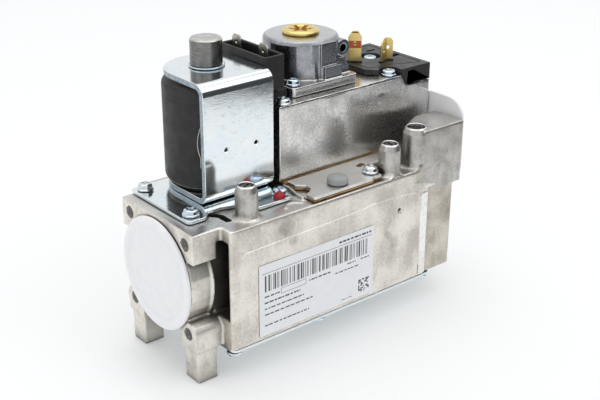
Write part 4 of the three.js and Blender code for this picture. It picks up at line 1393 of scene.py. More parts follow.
@dataclass
class PortCaps:
    """The push-in dust caps of both ports."""

    port_y: float = 26.4
    port_z: float = 43.15
    outlet_face: float = 149.9
    radius: float = 25.1
    tab_low: Point = (-4.0, 53.2)
    tab_high: Point = (26.0, 94.6)

    def profile(self) -> list[Point]:
        """The cap's section: a face with a raised rim and a step, and a thin skirt behind it."""
        return [
            (0, 1.45), (19.4, 1.45), (19.9, 1.25), (20.7, 1.25), (21.3, 1.6), (22.2, 1.95), (24.2, 1.95),
            (24.9, 1.6), (self.radius, 1.1), (self.radius, 0.6), (24.8, 0.32), (12.1, 0.32), (12.1, -6.8),
            (11.9, -7), (11.3, -7), (11.2, -6.8), (11.2, 0.32), (0, 0.32),
        ]

    def build(self, bench: Bench) -> None:
        """Makes both caps; the outlet's has a pull tab."""
        inlet = Solid.turned(self.profile(), (0, self.port_y, self.port_z), Axis.TO_INLET, 128)
        bench.place("inlet_cap_moulding", inlet, WHITE_CAP, ["inlet_dust_cap"], Rides.INLET_CAP)
        outlet = Solid.turned(
            self.profile(), (self.outlet_face, self.port_y, self.port_z), Axis.TO_OUTLET, 128
        )
        flat = rounded(rectangle(*self.tab_low, *self.tab_high), 9.8, 12)
        across = Matrix.Translation((self.outlet_face, 0, 0)) @ FACING_SIDE
        tab = Solid.prism(flat, 0.35, 1.55, 0.35).moved(across)
        bench.place(
            "outlet_cap_moulding", outlet.joined(tab), WHITE_CAP, ["outlet_dust_cap"], Rides.OUTLET_CAP
        )


# ---- Cover plate ----------------------------------------------------------------------


@dataclass
class CoverAssembly:
    """The zinc cover over the first valve, its screws and the paint that seals one of them."""

    bottom: float = 69.6
    sheet: float = 1.4
    tube: Triple = (36.6, 39.0, 8.2)
    screws: tuple[Point, ...] = ((9.6, 14.4), (9.6, 49.0), (51.2, 8.2), (51.8, 55.2))
    outline: tuple[Point, ...] = (
        (4.8, 9.3), (13.4, 9.3), (16.6, 12.0), (20.0, 13.6), (24.0, 13.6), (33.4, 10.4), (36.0, 3.3),
        (53.4, 3.3), (55.4, 5.6), (55.4, 58.8), (47.6, 58.8), (45.6, 54.0), (4.8, 54.0),
    )

    def build(self, bench: Bench) -> None:
        """Makes the plate, its screws and the paint."""
        top = self.bottom + self.sheet
        plate = Solid.prism(rounded(self.outline, 2.2), self.bottom, top, 0.35)
        plate = plate.cut(
            hole(self.tube[0], self.tube[1], self.bottom, top, self.tube[2]),
            *(hole(x, y, self.bottom, top, 2.1) for x, y in self.screws),
        )
        bench.place("cover_plate_sheet", plate, ZINC_SHEET, ["cover_plate"])
        screw = PanScrew(length=8)
        for i, (x, y) in enumerate(self.screws):
            place_screw(bench, f"cover_screw_{i + 1}", screw, (x, y, top + 0.3), 17 + 31 * i)
        bench.place("screw_seal_paint", self.paint(top), RED_PAINT, sharp=80)

    def paint(self, top: float) -> Solid:
        """A daub of paint over one side of the screw head and the plate.

        Args:
            top: the plate's top level.

        Returns:
            The solid.
        """
        x, y = self.screws[2]
        daubs = [
            (x - 2.8, y - 1.7, top + 0.4, 2.0), (x - 2.9, y - 2.7, top + 0.3, 1.9),
            (x - 1.9, y - 3.1, top + 0.5, 1.9), (x - 2.2, y - 2.3, top + 1.2, 1.7),
            (x - 0.9, y - 3.3, top + 0.6, 1.3), (x - 1.7, y - 1.8, top + 2.0, 1.2),
            (x - 3.4, y - 3.7, top + 0.1, 0.9),
        ]
        balls = [
            Solid.turned(
                [
                    (radius * math.sin(math.pi * k / 8), -radius * math.cos(math.pi * k / 8))
                    for k in range(9)
                ],
                (cx, cy, cz),
                count=24,
            )
            for cx, cy, cz, radius in daubs
        ]
        return balls[0].beside(*balls[1:]).cast(0.22, 14, 0.5)


# ---- Coil -----------------------------------------------------------------------------


@dataclass
class CoilAssembly:
    """The solenoid: a bent yoke round a wrapped coil, with its tube, plug housing and blades."""

    axis: Point = (36.6, 39.0)
    width: float = 36.0
    front: float = 16.5
    bottom: float = 71.3
    top: float = 123.6
    sheet: float = 2.5
    bend: float = 5.0
    coil_radius: float = 19.3
    coil_hole: float = 7.5
    coil_bottom: float = 74.3
    coil_top: float = 120.6
    tube_radius: float = 6.9
    tube_top: float = 136.0
    shroud_low: Triple = (55.0, 22.6, 112.0)
    shroud_high: Triple = (65.8, 55.4, 127.0)
    shroud_wall: float = 1.4
    blade_places: tuple[float, ...] = (30.8, 49.8)

    def build(self, bench: Bench) -> None:
        """Makes every piece of the coil."""
        bench.place(
            "yoke_bent_sheet", self.yoke(), ZINC_SHEET, ["coil_yoke"], sharp=30,
            trims=[(SHEARED_EDGE, self.sheared)]
        )
        bench.place("coil_moulding", self.coil(), COIL_PLASTIC, ["coil"])
        bench.place("coil_bottom_flange", self.lower_flange(), BLACK_PLASTIC)
        bench.place("coil_bottom_film", self.film(), BOBBIN_FILM)
        bench.place("coil_wire_loop", self.wire(), WIRE_ENAMEL)
        trims = [(FACED_STEEL, self.on_tube_top)]
        bench.place("armature_tube_drawn", self.tube(), TURNED_STEEL, ["armature_tube"], trims=trims)
        bench.place("tube_clip", self.clip(), ZINC_SCREW, ["tube_clip_ring"])
        for i, y in enumerate(self.blade_places):
            blade = push_on_blade(6.3, 15.3, 12.2).moved(stood_at(60.6, y, self.shroud_low[2] + 3.3, 90))
            bench.place(f"coil_blade_{i + 1}_tinned", blade, TINNED, [f"coil_blade_{i + 1}"])

    def yoke(self) -> Solid:
        """The bent sheet, with a round back to its two arms and two punched pips."""
        x, y = self.axis
        back = y + self.width / 2 + 1
        outer = [(back, self.bottom), (self.front, self.bottom), (self.front, self.top), (back, self.top)]
        inner = [
            (back, self.top - self.sheet), (self.front + self.sheet, self.top - self.sheet),
            (self.front + self.sheet, self.bottom + self.sheet), (back, self.bottom + self.sheet),
        ]
        side = rounded(outer, self.bend, 14, closed=False)
        side += rounded(inner, self.bend - self.sheet, 14, closed=False)
        half = self.width / 2
        bent = Solid.prism(side, x - half, x + half, 0).moved(FACING_SIDE)
        plan = [(x - half, self.front - 1), (x + half, self.front - 1)]
        plan += [
            (x + half * math.cos(math.pi * k / 48), y + half * math.sin(math.pi * k / 48))
            for k in range(49)
        ]
        rounded_back = bent.kept(Solid.prism(plan, self.bottom - 1, self.top + 1, 0))
        eased = rounded_back.shaped(
            ("WELD", {"merge_threshold": 0.001}),
            ("DECIMATE", {"decimate_type": "DISSOLVE", "angle_limit": math.radians(0.4)}),
            ("BEVEL", {"width": 0.38, "segments": 3, "angle_limit": math.radians(40)}),
        )
        pips = [
            Solid.turned(
                [(0, -3), (0.85, -3), (0.85, -0.45), (1.45, 0.15), (0, 0.6)], count=24
            ).moved(pressed_at(px, self.front, pz))
            for px, pz in ((29.8, 94.0), (45.3, 93.7))
        ]
        return eased.cut(hole(x, y, self.bottom, self.top, self.tube_radius + 0.3, 0.3), *pips)

    def sheared(self, middle: Vector, normal: Vector) -> bool:
        """Whether a face of the yoke is on its sheared outline."""
        beside = abs(normal.x) > 0.93
        round_back = middle.y > self.axis[1] and abs(normal.z) < 0.3 and normal.y > -0.5
        return beside or round_back

    def coil(self) -> Solid:
        """The wrapped drum with its neck and the open plug housing."""
        radius = self.coil_radius
        top = self.coil_top
        base = self.coil_bottom
        hollow = self.coil_hole
        x, y = self.axis
        outline = [
            (hollow, base + 1.0), (radius - 1.4, base + 1.0), (radius - 0.7, base + 1.3),
            (radius - 0.2, base + 1.9), (radius, base + 2.9), (radius, top - 8.4),
            (radius - 0.22, top - 8.1), (radius - 0.22, top - 7.7), (radius, top - 7.4),
            (radius, top - 3.6), (radius - 0.25, top - 2.6), (radius - 0.9, top - 1.6),
            (radius - 2.0, top - 1.05), (radius - 2.3, top - 0.7), (radius - 2.4, top), (hollow, top),
        ]
        drum = Solid.turned(outline, (x, y, 0), count=128)
        neck = Solid.block((48, 26, base + 4.4), (58.2, 52, top), 0.6, 1.0)
        low, high = self.shroud_low, self.shroud_high
        cup = Solid.prism(
            rounded(rectangle(low[0], low[1], high[0], high[1]), 1.2, 6), low[2], high[2], 0.4
        )
        wall = self.shroud_wall
        cavity = rounded(rectangle(low[0] + wall, low[1] + wall, high[0] - wall, high[1] - wall), 0.6)
        rings = [
            [(px, py, low[2] + 3) for px, py in cavity],
            [(px, py, high[2] - 0.35) for px, py in cavity],
            [(px, py, high[2] + 0.15) for px, py in inset(cavity, -0.5)],
            [(px, py, high[2] + 1) for px, py in inset(cavity, -0.5)],
        ]
        bore = Solid.turned([(0, base - 1), (hollow, base - 1), (hollow, top + 1), (0, top + 1)], (x, y, 0))
        return drum.joined(neck, cup).cut(Solid.from_rings(rings), bore)

    def lower_flange(self) -> Solid:
        """The bobbin's foot and its thin pale lip, which show under the wrapping."""
        base = self.coil_bottom
        hollow = self.coil_hole
        x, y = self.axis
        profile = [
            (hollow, base), (15.4, base), (15.5, base + 0.2), (15.5, base + 0.5),
            (self.coil_radius - 2.0, base + 0.55), (self.coil_radius - 2.0, base + 0.68),
            (hollow, base + 0.68),
        ]
        return Solid.turned(profile, (x, y, 0), count=96)

    def film(self) -> Solid:
        """The pale insulating film whose edge shows between the wrapping and the bobbin."""
        low = self.coil_bottom + 0.7
        edge = self.coil_radius - 0.95
        profile = [
            (self.coil_hole, low), (edge, low), (edge + 0.12, low + 0.12), (edge, low + 0.26),
            (self.coil_hole, low + 0.26)
        ]
        return Solid.turned(profile, (*self.axis, 0), count=96)

    def wire(self) -> Solid:
        """The winding's start, a thin loop beside the yoke's left edge."""
        x = self.axis[0] - self.width / 2
        bulge = 1.5
        steps = 24
        path = []
        for k in range(steps + 1):
            share = k / steps
            z = 105.2 - 17.5 * share
            out = bulge * math.sin(math.pi * min(1.0, share * 1.35)) ** 0.8 if share < 0.74 else 0.0
            path.append((x + 0.45 - out, self.front + 2.9 + 0.6 * share, z))
        return Solid.pipe(path, 0.17, 8)

    def tube(self) -> Solid:
        """The armature's drawn tube with a rolled top edge and a groove for the clip."""
        radius = self.tube_radius
        wall = radius - 0.8
        profile = [
            (wall, 69.8), (7.9, 69.8), (7.9, 70.8), (7.7, 71.0), (radius + 0.15, 71.0), (radius, 71.15),
            (radius, 123.7), (radius - 0.2, 123.9), (radius - 0.2, 124.6), (radius, 124.8),
            (radius, 134.8), (radius - 0.12, 135.3), (radius - 0.45, 135.75), (radius - 0.9, 135.95),
            (radius - 1.3, self.tube_top), (0, self.tube_top), (0, 135.2), (wall, 135.2),
        ]
        return Solid.turned(profile, (*self.axis, 0), count=96)

    def on_tube_top(self, middle: Vector, normal: Vector) -> bool:
        """Whether a face is on the tube's faced end."""
        return middle.z > self.tube_top - 0.9 and normal.z > 0.15

    def clip(self) -> Solid:
        """The spring clip, an open ring with its two ends bent out."""
        radius = self.tube_radius + 0.5
        x, y = self.axis
        path = []
        for k in range(61):
            angle = math.radians(12 + 336 * k / 60)
            flare = 0.5 * max(0.0, abs(k - 30) - 26) / 4
            reach = radius + flare
            path.append((x + reach * math.cos(angle), y + reach * math.sin(angle), 124.25))
        return Solid.pipe(path, 0.34, 10)


def push_on_blade(width: float, height: float, hole_height: float, thickness: float = 0.8) -> Solid:
    """A flat push-on blade, upright on zero and facing Y, with clipped corners and a hole.

    Args:
        width: its width.
        height: its height.
        hole_height: the height of the hole's middle.
        thickness: the metal's thickness.

    Returns:
        The blade.
    """
    half = width / 2
    corners = [
        (-half, 0), (half, 0), (half, height - 1.6), (half - 1.1, height), (-half + 1.1, height),
        (-half, height - 1.6)
    ]
    flat = Solid.prism(rounded(corners, 0.5, 3), -thickness / 2, thickness / 2, 0.18)
    punched = flat.cut(hole(0, hole_height, -thickness / 2, thickness / 2, 0.8, 0.12))
    return punched.moved(Matrix.Rotation(math.pi / 2, 4, "X"))


# ---- Servo block ----------------------------------------------------------------------


@dataclass
class ServoBlock:
    """The die-cast servo block on its gasket, held by four screws."""

    top: float = 105.8
    screws: tuple[Point, ...] = ((63.2, 20.9), (126.6, 21.9), (63.2, 57.5), (112.6, 57.5))
    front: float = 17.9
    parting: float = 100.2
    voxel: float = 0.45

    def build(self, bench: Bench) -> None:
        """Makes the block and its screws, and keeps the gasket."""
        block = Solid.from_node("servo_block").joined(self.front_boss()).cast(self.voxel, 3, 0.3)
        bench.place("servo_casting", block.displaced(self.unevenness), DIE_CAST, ["servo_block"], sharp=60)
        bench.carry("servo_gasket", GASKET_BOARD, 0)
        for i, (x, y) in enumerate(self.screws):
            screw = PanScrew(height=2.4, length=8 if i < 2 else 41.5)
            place_screw(bench, f"servo_screw_{i + 1}", screw, (x, y, self.top + 0.3), 40 + 23 * i)

    def front_boss(self) -> Solid:
        """A low pad on the front face, where the die's ejector stood."""
        pad = [(0, -1), (2.4, -1), (2.4, -0.05), (2.1, 0.12), (0, 0.12)]
        return Solid.turned(pad, count=32).moved(pressed_at(118.5, self.front, 96.8))

    def unevenness(self, point: Vector) -> Vector:
        """The faint ripple of the die's faces, which bends what they reflect."""
        wave = noise.noise_vector(point * 0.07) * 0.12 + noise.noise_vector(point * 0.25) * 0.04
        if point.y < self.front + 0.5:
            above = min(1.0, max(0.0, (point.z - self.parting - 0.3 * wave.x) / 0.45))
            wave.y -= 0.13 * above
        return wave


# ---- Pressure regulator ---------------------------------------------------------------


@dataclass
class Regulator:
    """The regulator's cast turret, its brass adjuster, its pad and its two screws."""

    centre: Point = (91.5, 43.5)
    turret_top: float = 127.5
    slab_bottom: float = 106.1
    slab_top: float = 110.2
    thread: float = 7.5
    head: float = 8.4
    head_height: float = 1.9
    foot: float = 119.0
    screws: tuple[Point, ...] = ((74.0, 27.2), (105.0, 59.2))

    def build(self, bench: Bench) -> None:
        """Makes every piece of the regulator."""
        housing = Solid.from_node("regulator_housing").joined(*self.ribs()).cast(0.3, 3, 0.3)
        trims = [(DIE_CAST, self.on_slab)]
        bench.place(
            "regulator_casting", housing, REGULATOR_CAST, ["regulator_housing"], sharp=60, trims=trims
        )
        bench.place("adjuster_brass", self.adjuster(), BRASS, ["adjuster_screw"], Rides.ADJUSTER, 30)
        pad = Solid.block((60.6, 26, self.slab_bottom), (70.1, 46, 110.4), 0.5, 1.0)
        bench.place("regulator_pad_moulding", pad, BLACK_PLASTIC, ["regulator_pad"])
        for i, (x, y) in enumerate(self.screws):
            screw = PanScrew(3.2, 2.8, 1.7, 9)
            place_screw(bench, f"regulator_screw_{i + 1}", screw, (x, y, self.slab_top + 0.3), 8 + 35 * i)

    def on_slab(self, middle: Vector, normal: Vector) -> bool:
        """Whether a face is on the slab under the turret."""
        return middle.z < self.slab_top + 0.3 and middle.y < 30

    def ribs(self) -> list[Solid]:
        """The upright blends where the turret meets its lobe, and the ramp at the slab's end."""
        blend = Solid.turned(
            [(0, self.slab_top - 1), (2.4, self.slab_top - 1), (1.6, 118), (1.3, 125.4), (0, 125.4)],
            (86.6, 28.6, 0),
            count=20,
        )
        ramp = Solid.from_rings(
            [
                [
                    (106.4, 27, self.slab_top - 1), (106.4, 36, self.slab_top - 1), (106.4, 36, 113.4),
                    (106.4, 27, 113.4)
                ],
                [
                    (99.0, 27, self.slab_top - 1), (99.0, 36, self.slab_top - 1), (99.0, 36, 117.6),
                    (99.0, 27, 117.6)
                ],
            ]
        )
        return [blend, ramp]

    def adjuster(self) -> Solid:
        """The brass adjuster: a flanged plug with a worn cross slot."""
        x, y = self.centre
        low = self.turret_top + 0.3
        high = low + self.head_height
        profile = [
            (0, self.foot), (self.thread - 0.6, self.foot), (self.thread, self.foot + 0.6),
            (self.thread, low), (self.head - 0.2, low), (self.head, low + 0.2), (self.head, low + 0.75),
            (self.head - 0.15, low + 1.1), (self.head - 0.7, low + 1.55), (self.head - 1.5, high - 0.08),
            (self.head - 2.1, high), (self.head - 3.2, high - 0.05), (self.head - 3.8, high - 0.5),
            (0, high - 0.6),
        ]
        slots = []
        for k in range(3):
            bar = rounded(rectangle(-6.3, -0.95, 6.3, 0.95), 0.9, 6)
            rings = [
                [(px, py, low - 0.9) for px, py in inset(bar, 0.15)],
                [(px, py, high - 0.35) for px, py in bar],
                [(px, py, high + 0.6) for px, py in inset(bar, -0.75)],
            ]
            slots.append(Solid.from_rings(rings).moved(Matrix.Rotation(math.radians(20 + 60 * k), 4, "Z")))
        middle = Solid.turned(
            [(0, low - 1.6), (2.7, low - 1.6), (2.9, low), (3.4, high + 0.3), (0, high + 0.3)], count=32
        )
        return Solid.turned(profile, count=80).cut(*slots, middle).moved(Matrix.Translation((x, y, 0)))


# ---- Terminal block -------------------------------------------------------------------


@dataclass(frozen=True)
class TerminalBlade:
    """Where a brass blade stands on the terminal block, and its size."""

    x: float
    y: float
    height: float
    width: float
    turn: float


@dataclass
class TerminalBlock:
    """The black terminal block with its brass blades and centre screw."""

    left: float = 117.5
    right: float = 149.8
    front: float = 17.9
    back: float = 60.0
    top: float = 108.6
    foot: float = 106.1
    step: float = 100.7
    shoulder: float = 131.0
    step_foot: float = 134.2
    notch: Point = (126.6, 21.9)
    screw: Point = (134.9, 43.6)
    blades: tuple[TerminalBlade, ...] = (
        TerminalBlade(122.1, 40.6, 13.4, 6.3, -42),
        TerminalBlade(124.3, 42.9, 13.8, 4.8, -42),
        TerminalBlade(133.2, 32.8, 9.4, 4.8, 18),
        TerminalBlade(136.9, 33.7, 10.4, 4.8, -52),
    )

    def build(self, bench: Bench) -> None:
        """Makes the block, its screw, its blades and the mark on the first of them."""
        bench.place("terminal_moulding", self.moulding(), BLACK_PLASTIC, ["terminal_block"])
        screw = PanScrew(3.6, 2.2, 1.7, 12)
        place_screw(bench, "terminal_screw", screw, (*self.screw, 106.3), 35)
        for i, tab in enumerate(self.blades):
            place = self.stance(tab)
            blade = push_on_blade(tab.width, tab.height, tab.height - 4.6).moved(place)
            bench.place(f"terminal_blade_{i + 1}_brass", blade, BRASS, [f"terminal_blade_{i + 1}"])
            foot = Solid.block(
                (-tab.width / 2 - 0.5, -0.9, -0.28), (tab.width / 2 + 0.5, 0.9, 0.35), 0.15
            ).moved(place)
            bench.place(f"terminal_foot_{i + 1}", foot, BLACK_PLASTIC)
        bench.place("blade_mark", self.mark(), ORANGE_PATCH)

    def moulding(self) -> Solid:
        """The block: a stepped slab with a rim groove, slots and a round recess."""
        side = [
            (self.left, self.foot), (self.shoulder, self.foot), (self.step_foot, self.step),
            (self.right, self.step), (self.right, self.top), (self.left, self.top),
        ]
        slab = Solid.prism(rounded(side, 0.3, 2), self.front, self.back, 0.4).moved(FACING_FRONT)
        plan = [
            (121.9, 24.2), (123.6, 24.2), (124.4, 22.0), (131.0, 22.0), (131.0, 17.0), (151.0, 17.0),
            (151.0, 61.0), (116.0, 61.0), (116.0, 30.0),
        ]
        outline = Solid.prism(rounded(plan, 0.8), self.step - 1, self.top + 1, 0)
        rim = rounded(
            [(120.2, 30.6), (123.4, 26.8), (132.6, 26.8), (147.0, 20.6), (147.0, 57.4), (120.2, 57.4)],
            1.5
        )
        groove = Solid.prism(rim, self.top - 0.45, self.top + 1, 0).cut(
            Solid.prism(inset(rim, 0.55), self.top - 1, self.top + 2, 0)
        )
        top = self.top
        clearance = [(0, 99), (4.6, 99), (4.6, top - 0.3), (5.0, top + 0.1), (5.0, 112), (0, 112)]
        recess = [(0, 98), (2.1, 98), (2.1, 106.0), (5.0, 106.0), (5.0, top - 0.3), (5.4, top + 0.1)]
        recess += [(5.4, 112), (0, 112)]
        tools = [
            Solid.turned(clearance, (*self.notch, 0)),
            Solid.turned(recess, (*self.screw, 0)),
            Solid.block((135.1, self.front - 1, 99), (138.9, self.front + 2, 107.1), 0.1),
            Solid.block((123.9, 44.4, 106.9), (130.2, 46.6, 112), 0.2, 0.9),
            Solid.block((141.2, 35.4, 106.9), (147.4, 38.4, 112), 0.2, 1.2),
            Solid.block((138.0, 49.0, 107.4), (144.0, 50.6, 112), 0.2, 0.7),
        ]
        return slab.kept(outline).cut(groove, *tools)

    def mark(self) -> Solid:
        """The orange band painted round the first blade's hole."""
        tab = self.blades[0]
        band = Solid.block((-2.9, -0.44, tab.height - 6.9), (2.9, -0.37, tab.height - 3.4), 0.03, 0.4)
        punch = Solid.turned([(0, -1), (0.95, -1), (0.95, 1), (0, 1)], count=24)
        punch.moved(pressed_at(0, 0, tab.height - 4.6))
        return band.cut(punch).moved(self.stance(tab))

    def stance(self, tab: TerminalBlade) -> Matrix:
        """Where a blade stands and how far it is turned."""
        return stood_at(tab.x, tab.y, self.top + 0.3, tab.turn)


# ---- Access plate ---------------------------------------------------------------------


@dataclass
class AccessCover:
    """The small plate on the casting's top, with its gasket, screw and grey plug."""

    bottom: float = 70.5
    sheet: float = 1.3
    plug: Point = (77.3, 0.8)
    plug_radius: float = 4.7
    plug_neck: float = 2.6
    screw: Point = (96.6, 0.6)
    outline: tuple[Point, ...] = (
        (59.2, -5.2), (92.6, -5.2), (94.6, -4.2), (99.4, -4.2), (99.4, 5.0), (103.4, 8.2), (111.0, 8.2),
        (114.6, 12.0), (114.6, 16.4), (61.4, 16.4), (61.4, 10.6), (64.8, 7.6), (64.8, 4.2), (62.4, 1.8),
        (59.2, 0.4),
    )

    def build(self, bench: Bench) -> None:
        """Makes the plate, its screw and its plug, and keeps the gasket."""
        top = self.bottom + self.sheet
        plate = Solid.prism(rounded(self.outline, 0.9), self.bottom, top, 0.3)
        slot = Solid.prism(
            rounded([(96.6, 7.9), (101.5, 8.9), (101.2, 11.7), (96.3, 10.7)], 1.4), self.bottom - 1,
            top + 1, 0
        )
        plate = plate.cut(
            slot,
            hole(*self.screw, self.bottom, top, 2.1, 0.2),
            hole(*self.plug, self.bottom, top, self.plug_neck + 0.3, 0.2),
        )
        bench.place("access_plate_sheet", plate, PLATE_ALUMINIUM, ["access_plate"])
        bench.carry("access_gasket", GASKET_BOARD, 0)
        place_screw(bench, "access_screw", PanScrew(length=6.5), (*self.screw, top + 0.3), 28)
        rise = top + 0.3
        profile = [
            (0, 69.6), (self.plug_neck - 0.3, 69.6), (self.plug_neck, 69.9), (self.plug_neck, rise),
            (self.plug_radius - 0.2, rise), (self.plug_radius, rise + 0.3),
            (self.plug_radius, rise + 2.0), (self.plug_radius - 0.25, rise + 2.6),
            (self.plug_radius - 0.9, rise + 2.95), (self.plug_radius - 1.7, rise + 3.06), (0, rise + 3.1),
        ]
        bench.place(
            "plug_moulding", Solid.turned(profile, (*self.plug, 0)), GREY_RUBBER, ["rubber_plug"],
            Rides.PLUG
        )


# ---- Underside ------------------------------------------------------------------------


@dataclass
class Underside:
    """The pressed bottom plate with its dome, and the screws that hold it."""

    plate_top: float = 14.0
    sheet: float = 1.4
    dome: Point = (98.0, 26.4)
    rim: float = 25.0
    sole: float = 17.0
    screws: tuple[Point, ...] = ((17.5, -2.9), (63.5, -2.9), (127.6, -2.9), (17.5, 55.7), (127.6, 55.7))

    def build(self, bench: Bench) -> None:
        """Makes the plate and its screws."""
        low = self.plate_top - self.sheet
        plan = rounded(rectangle(14.6, -6.5, 131.5, 59.3), 3, 8)
        plate = Solid.prism(plan, low, self.plate_top, 0.35)
        bends = [
            (0, 0), (self.sole, 0), (self.sole + 4.4, 2.7), (self.rim - 1.4, low - 1.2),
            (self.rim + 1.6, low)
        ]
        outside = rounded(bends, 2.2, 6, closed=False) + [(self.rim + 1.6, low + 0.7), (0, low + 0.7)]
        inner = [
            (0, self.sheet), (self.sole - 0.6, self.sheet), (self.sole + 3.1, 3.7), (self.rim - 2.7, low)
        ]
        inside = rounded(inner, 1.4, 5, closed=False) + [
            (self.rim - 1.9, self.plate_top + 1), (0, self.plate_top + 1)
        ]
        middle = (*self.dome, 0)
        pressed = plate.joined(Solid.turned(outside, middle, count=96)).cut(
            Solid.turned(inside, middle, count=96),
            *(hole(x, y, low, self.plate_top, 2.1, 0.2) for x, y in self.screws),
        )
        bench.place("bottom_plate_pressed", pressed, ZINC_SHEET, ["bottom_plate"])
        screw = PanScrew(height=2.2, length=6)
        for i, (x, y) in enumerate(self.screws):
            place_screw(bench, f"bottom_screw_{i + 1}", screw, (x, y, low - 0.3), 12 + 29 * i, Axis.DOWN)


# ---- Rating label ---------------------------------------------------------------------


@dataclass
class RatingLabel:
    """The white label with plain bars and dashes in place of print."""

    left: float = 27.8
    right: float = 92.9
    bottom: float = 16.2
    top: float = 49.9
    face: float = -7.0
    seed: int = 11

    def build(self, bench: Bench) -> None:
        """Makes the film and its printed marks."""
        flat = rounded(rectangle(self.left, self.bottom, self.right, self.top), 0.6, 6)
        film = Solid.prism(flat, self.face, self.face + 0.2, 0.05, 2).moved(FACING_FRONT)
        bench.place("label_film", film, LABEL_FILM, ["rating_label"])
        marks = [
            Solid.prism(outline, self.face - 0.03, self.face + 0.02, 0).moved(FACING_FRONT)
            for outline in self.print()
        ]
        bench.place("label_print", marks[0].beside(*marks[1:]), PRINT_INK, sharp=20)

    def print(self) -> list[list[Point]]:
        """The outlines of the marks: a rule, upright bars, rows of dashes and two frames."""
        chance = random.Random(self.seed)
        marks = [rectangle(self.left + 1.4, 45.6, self.right - 1.6, 45.78)]
        x = self.left + 3.0
        while x < self.right - 4:
            width = chance.choice((0.28, 0.28, 0.5, 0.75))
            marks.append(rectangle(x, 37.0, x + width, 44.6))
            x += width + chance.choice((0.35, 0.5, 0.75, 1.1))
        rows = [
            (47.0, 72.0, 91.0, 1.3), (34.3, 30.6, 38.6, 1.0), (31.4, 30.6, 50.0, 1.1),
            (28.6, 30.6, 52.0, 0.9)
        ]
        rows += [
            (25.8, 30.6, 57.5, 0.9), (20.6, 30.6, 55.0, 0.9), (34.4, 55.0, 67.0, 1.0),
            (32.6, 70.0, 84.0, 0.8)
        ]
        rows += [(35.2, 77.0, 82.0, 0.8), (35.2, 85.0, 90.0, 0.8), (18.0, 74.0, 80.0, 0.5)]
        for level, start, end, height in rows:
            x = start
            while x < end:
                width = min(chance.uniform(0.6, 2.6), end - x)
                marks.append(rectangle(x, level, x + width, level + height * 0.62))
                x += width + chance.uniform(0.35, 0.8)
        marks += self.outlined(39.4, 33.6, 53.2, 36.2)
        corner_x, corner_z, cells, cell, dot = 84.0, 18.6, 9, 0.72, 0.66
        for column in range(cells):
            for row in range(cells):
                if chance.random() < 0.5:
                    x, z = corner_x + column * cell, corner_z + row * cell
                    marks.append(rectangle(x, z, x + dot, z + dot))
        return marks

    @staticmethod
    def outlined(x0: float, y0: float, x1: float, y1: float) -> list[list[Point]]:
        """The four strokes of a frame."""
        pen = 0.16
        return [
            rectangle(x0, y0, x1, y0 + pen),
            rectangle(x0, y1 - pen, x1, y1),
            rectangle(x0, y0 + pen, x0 + pen, y1 - pen),
            rectangle(x1 - pen, y0 + pen, x1, y1 - pen),
        ]


# ---- Inner pieces ---------------------------------------------------------------------


@dataclass(frozen=True)
class CoilSpring:
    """A coil spring, the slide that presses it together and which of its ends stays put."""

    node: str
    joint: str
    held_above: bool

    def build(self, bench: Bench) -> None:
        """Makes the spring from its node's shape; its slide's travel is read but not used."""
        slides = (j for j in frame["record"]["behaviour"]["joints"] if j["name"] == self.joint)
        travel = next(slides)["range_m"][1]
        piece = bench.place(f"{self.node}_coils", Solid.from_node(self.node), TURNED_STEEL, [self.node])
        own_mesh(piece)


@dataclass
class InnerPieces:
    """The pieces inside the valve, which keep their frame's shape with eased edges."""

    steel: tuple[str, ...] = ("fixed_core", "armature", "inlet_strainer", "spring_seat")
    springs: tuple[CoilSpring, ...] = (
        CoilSpring("armature_spring", "armature_lift", True),
        CoilSpring("valve_spring", "main_valve_lift", True),
        CoilSpring("regulator_spring", "seat_travel", False),
    )
    alloy: tuple[str, ...] = ("first_valve_disc", "second_valve_disc", "valve_stem")
    rubber: tuple[str, ...] = (
        "cover_seal", "first_valve_seal", "second_valve_seal", "diaphragm", "regulator_diaphragm"
    )

    def build(self, bench: Bench) -> None:
        """Dresses each of them."""
        for node in self.steel:
            bench.carry(node, TURNED_STEEL)
        for spring in self.springs:
            spring.build(bench)
        for node in self.alloy:
            bench.carry(node, DIE_CAST)
        for node in self.rubber:
            bench.carry(node, SEAL_RUBBER, 0.1)


# ---- Studio ---------------------------------------------------------------------------


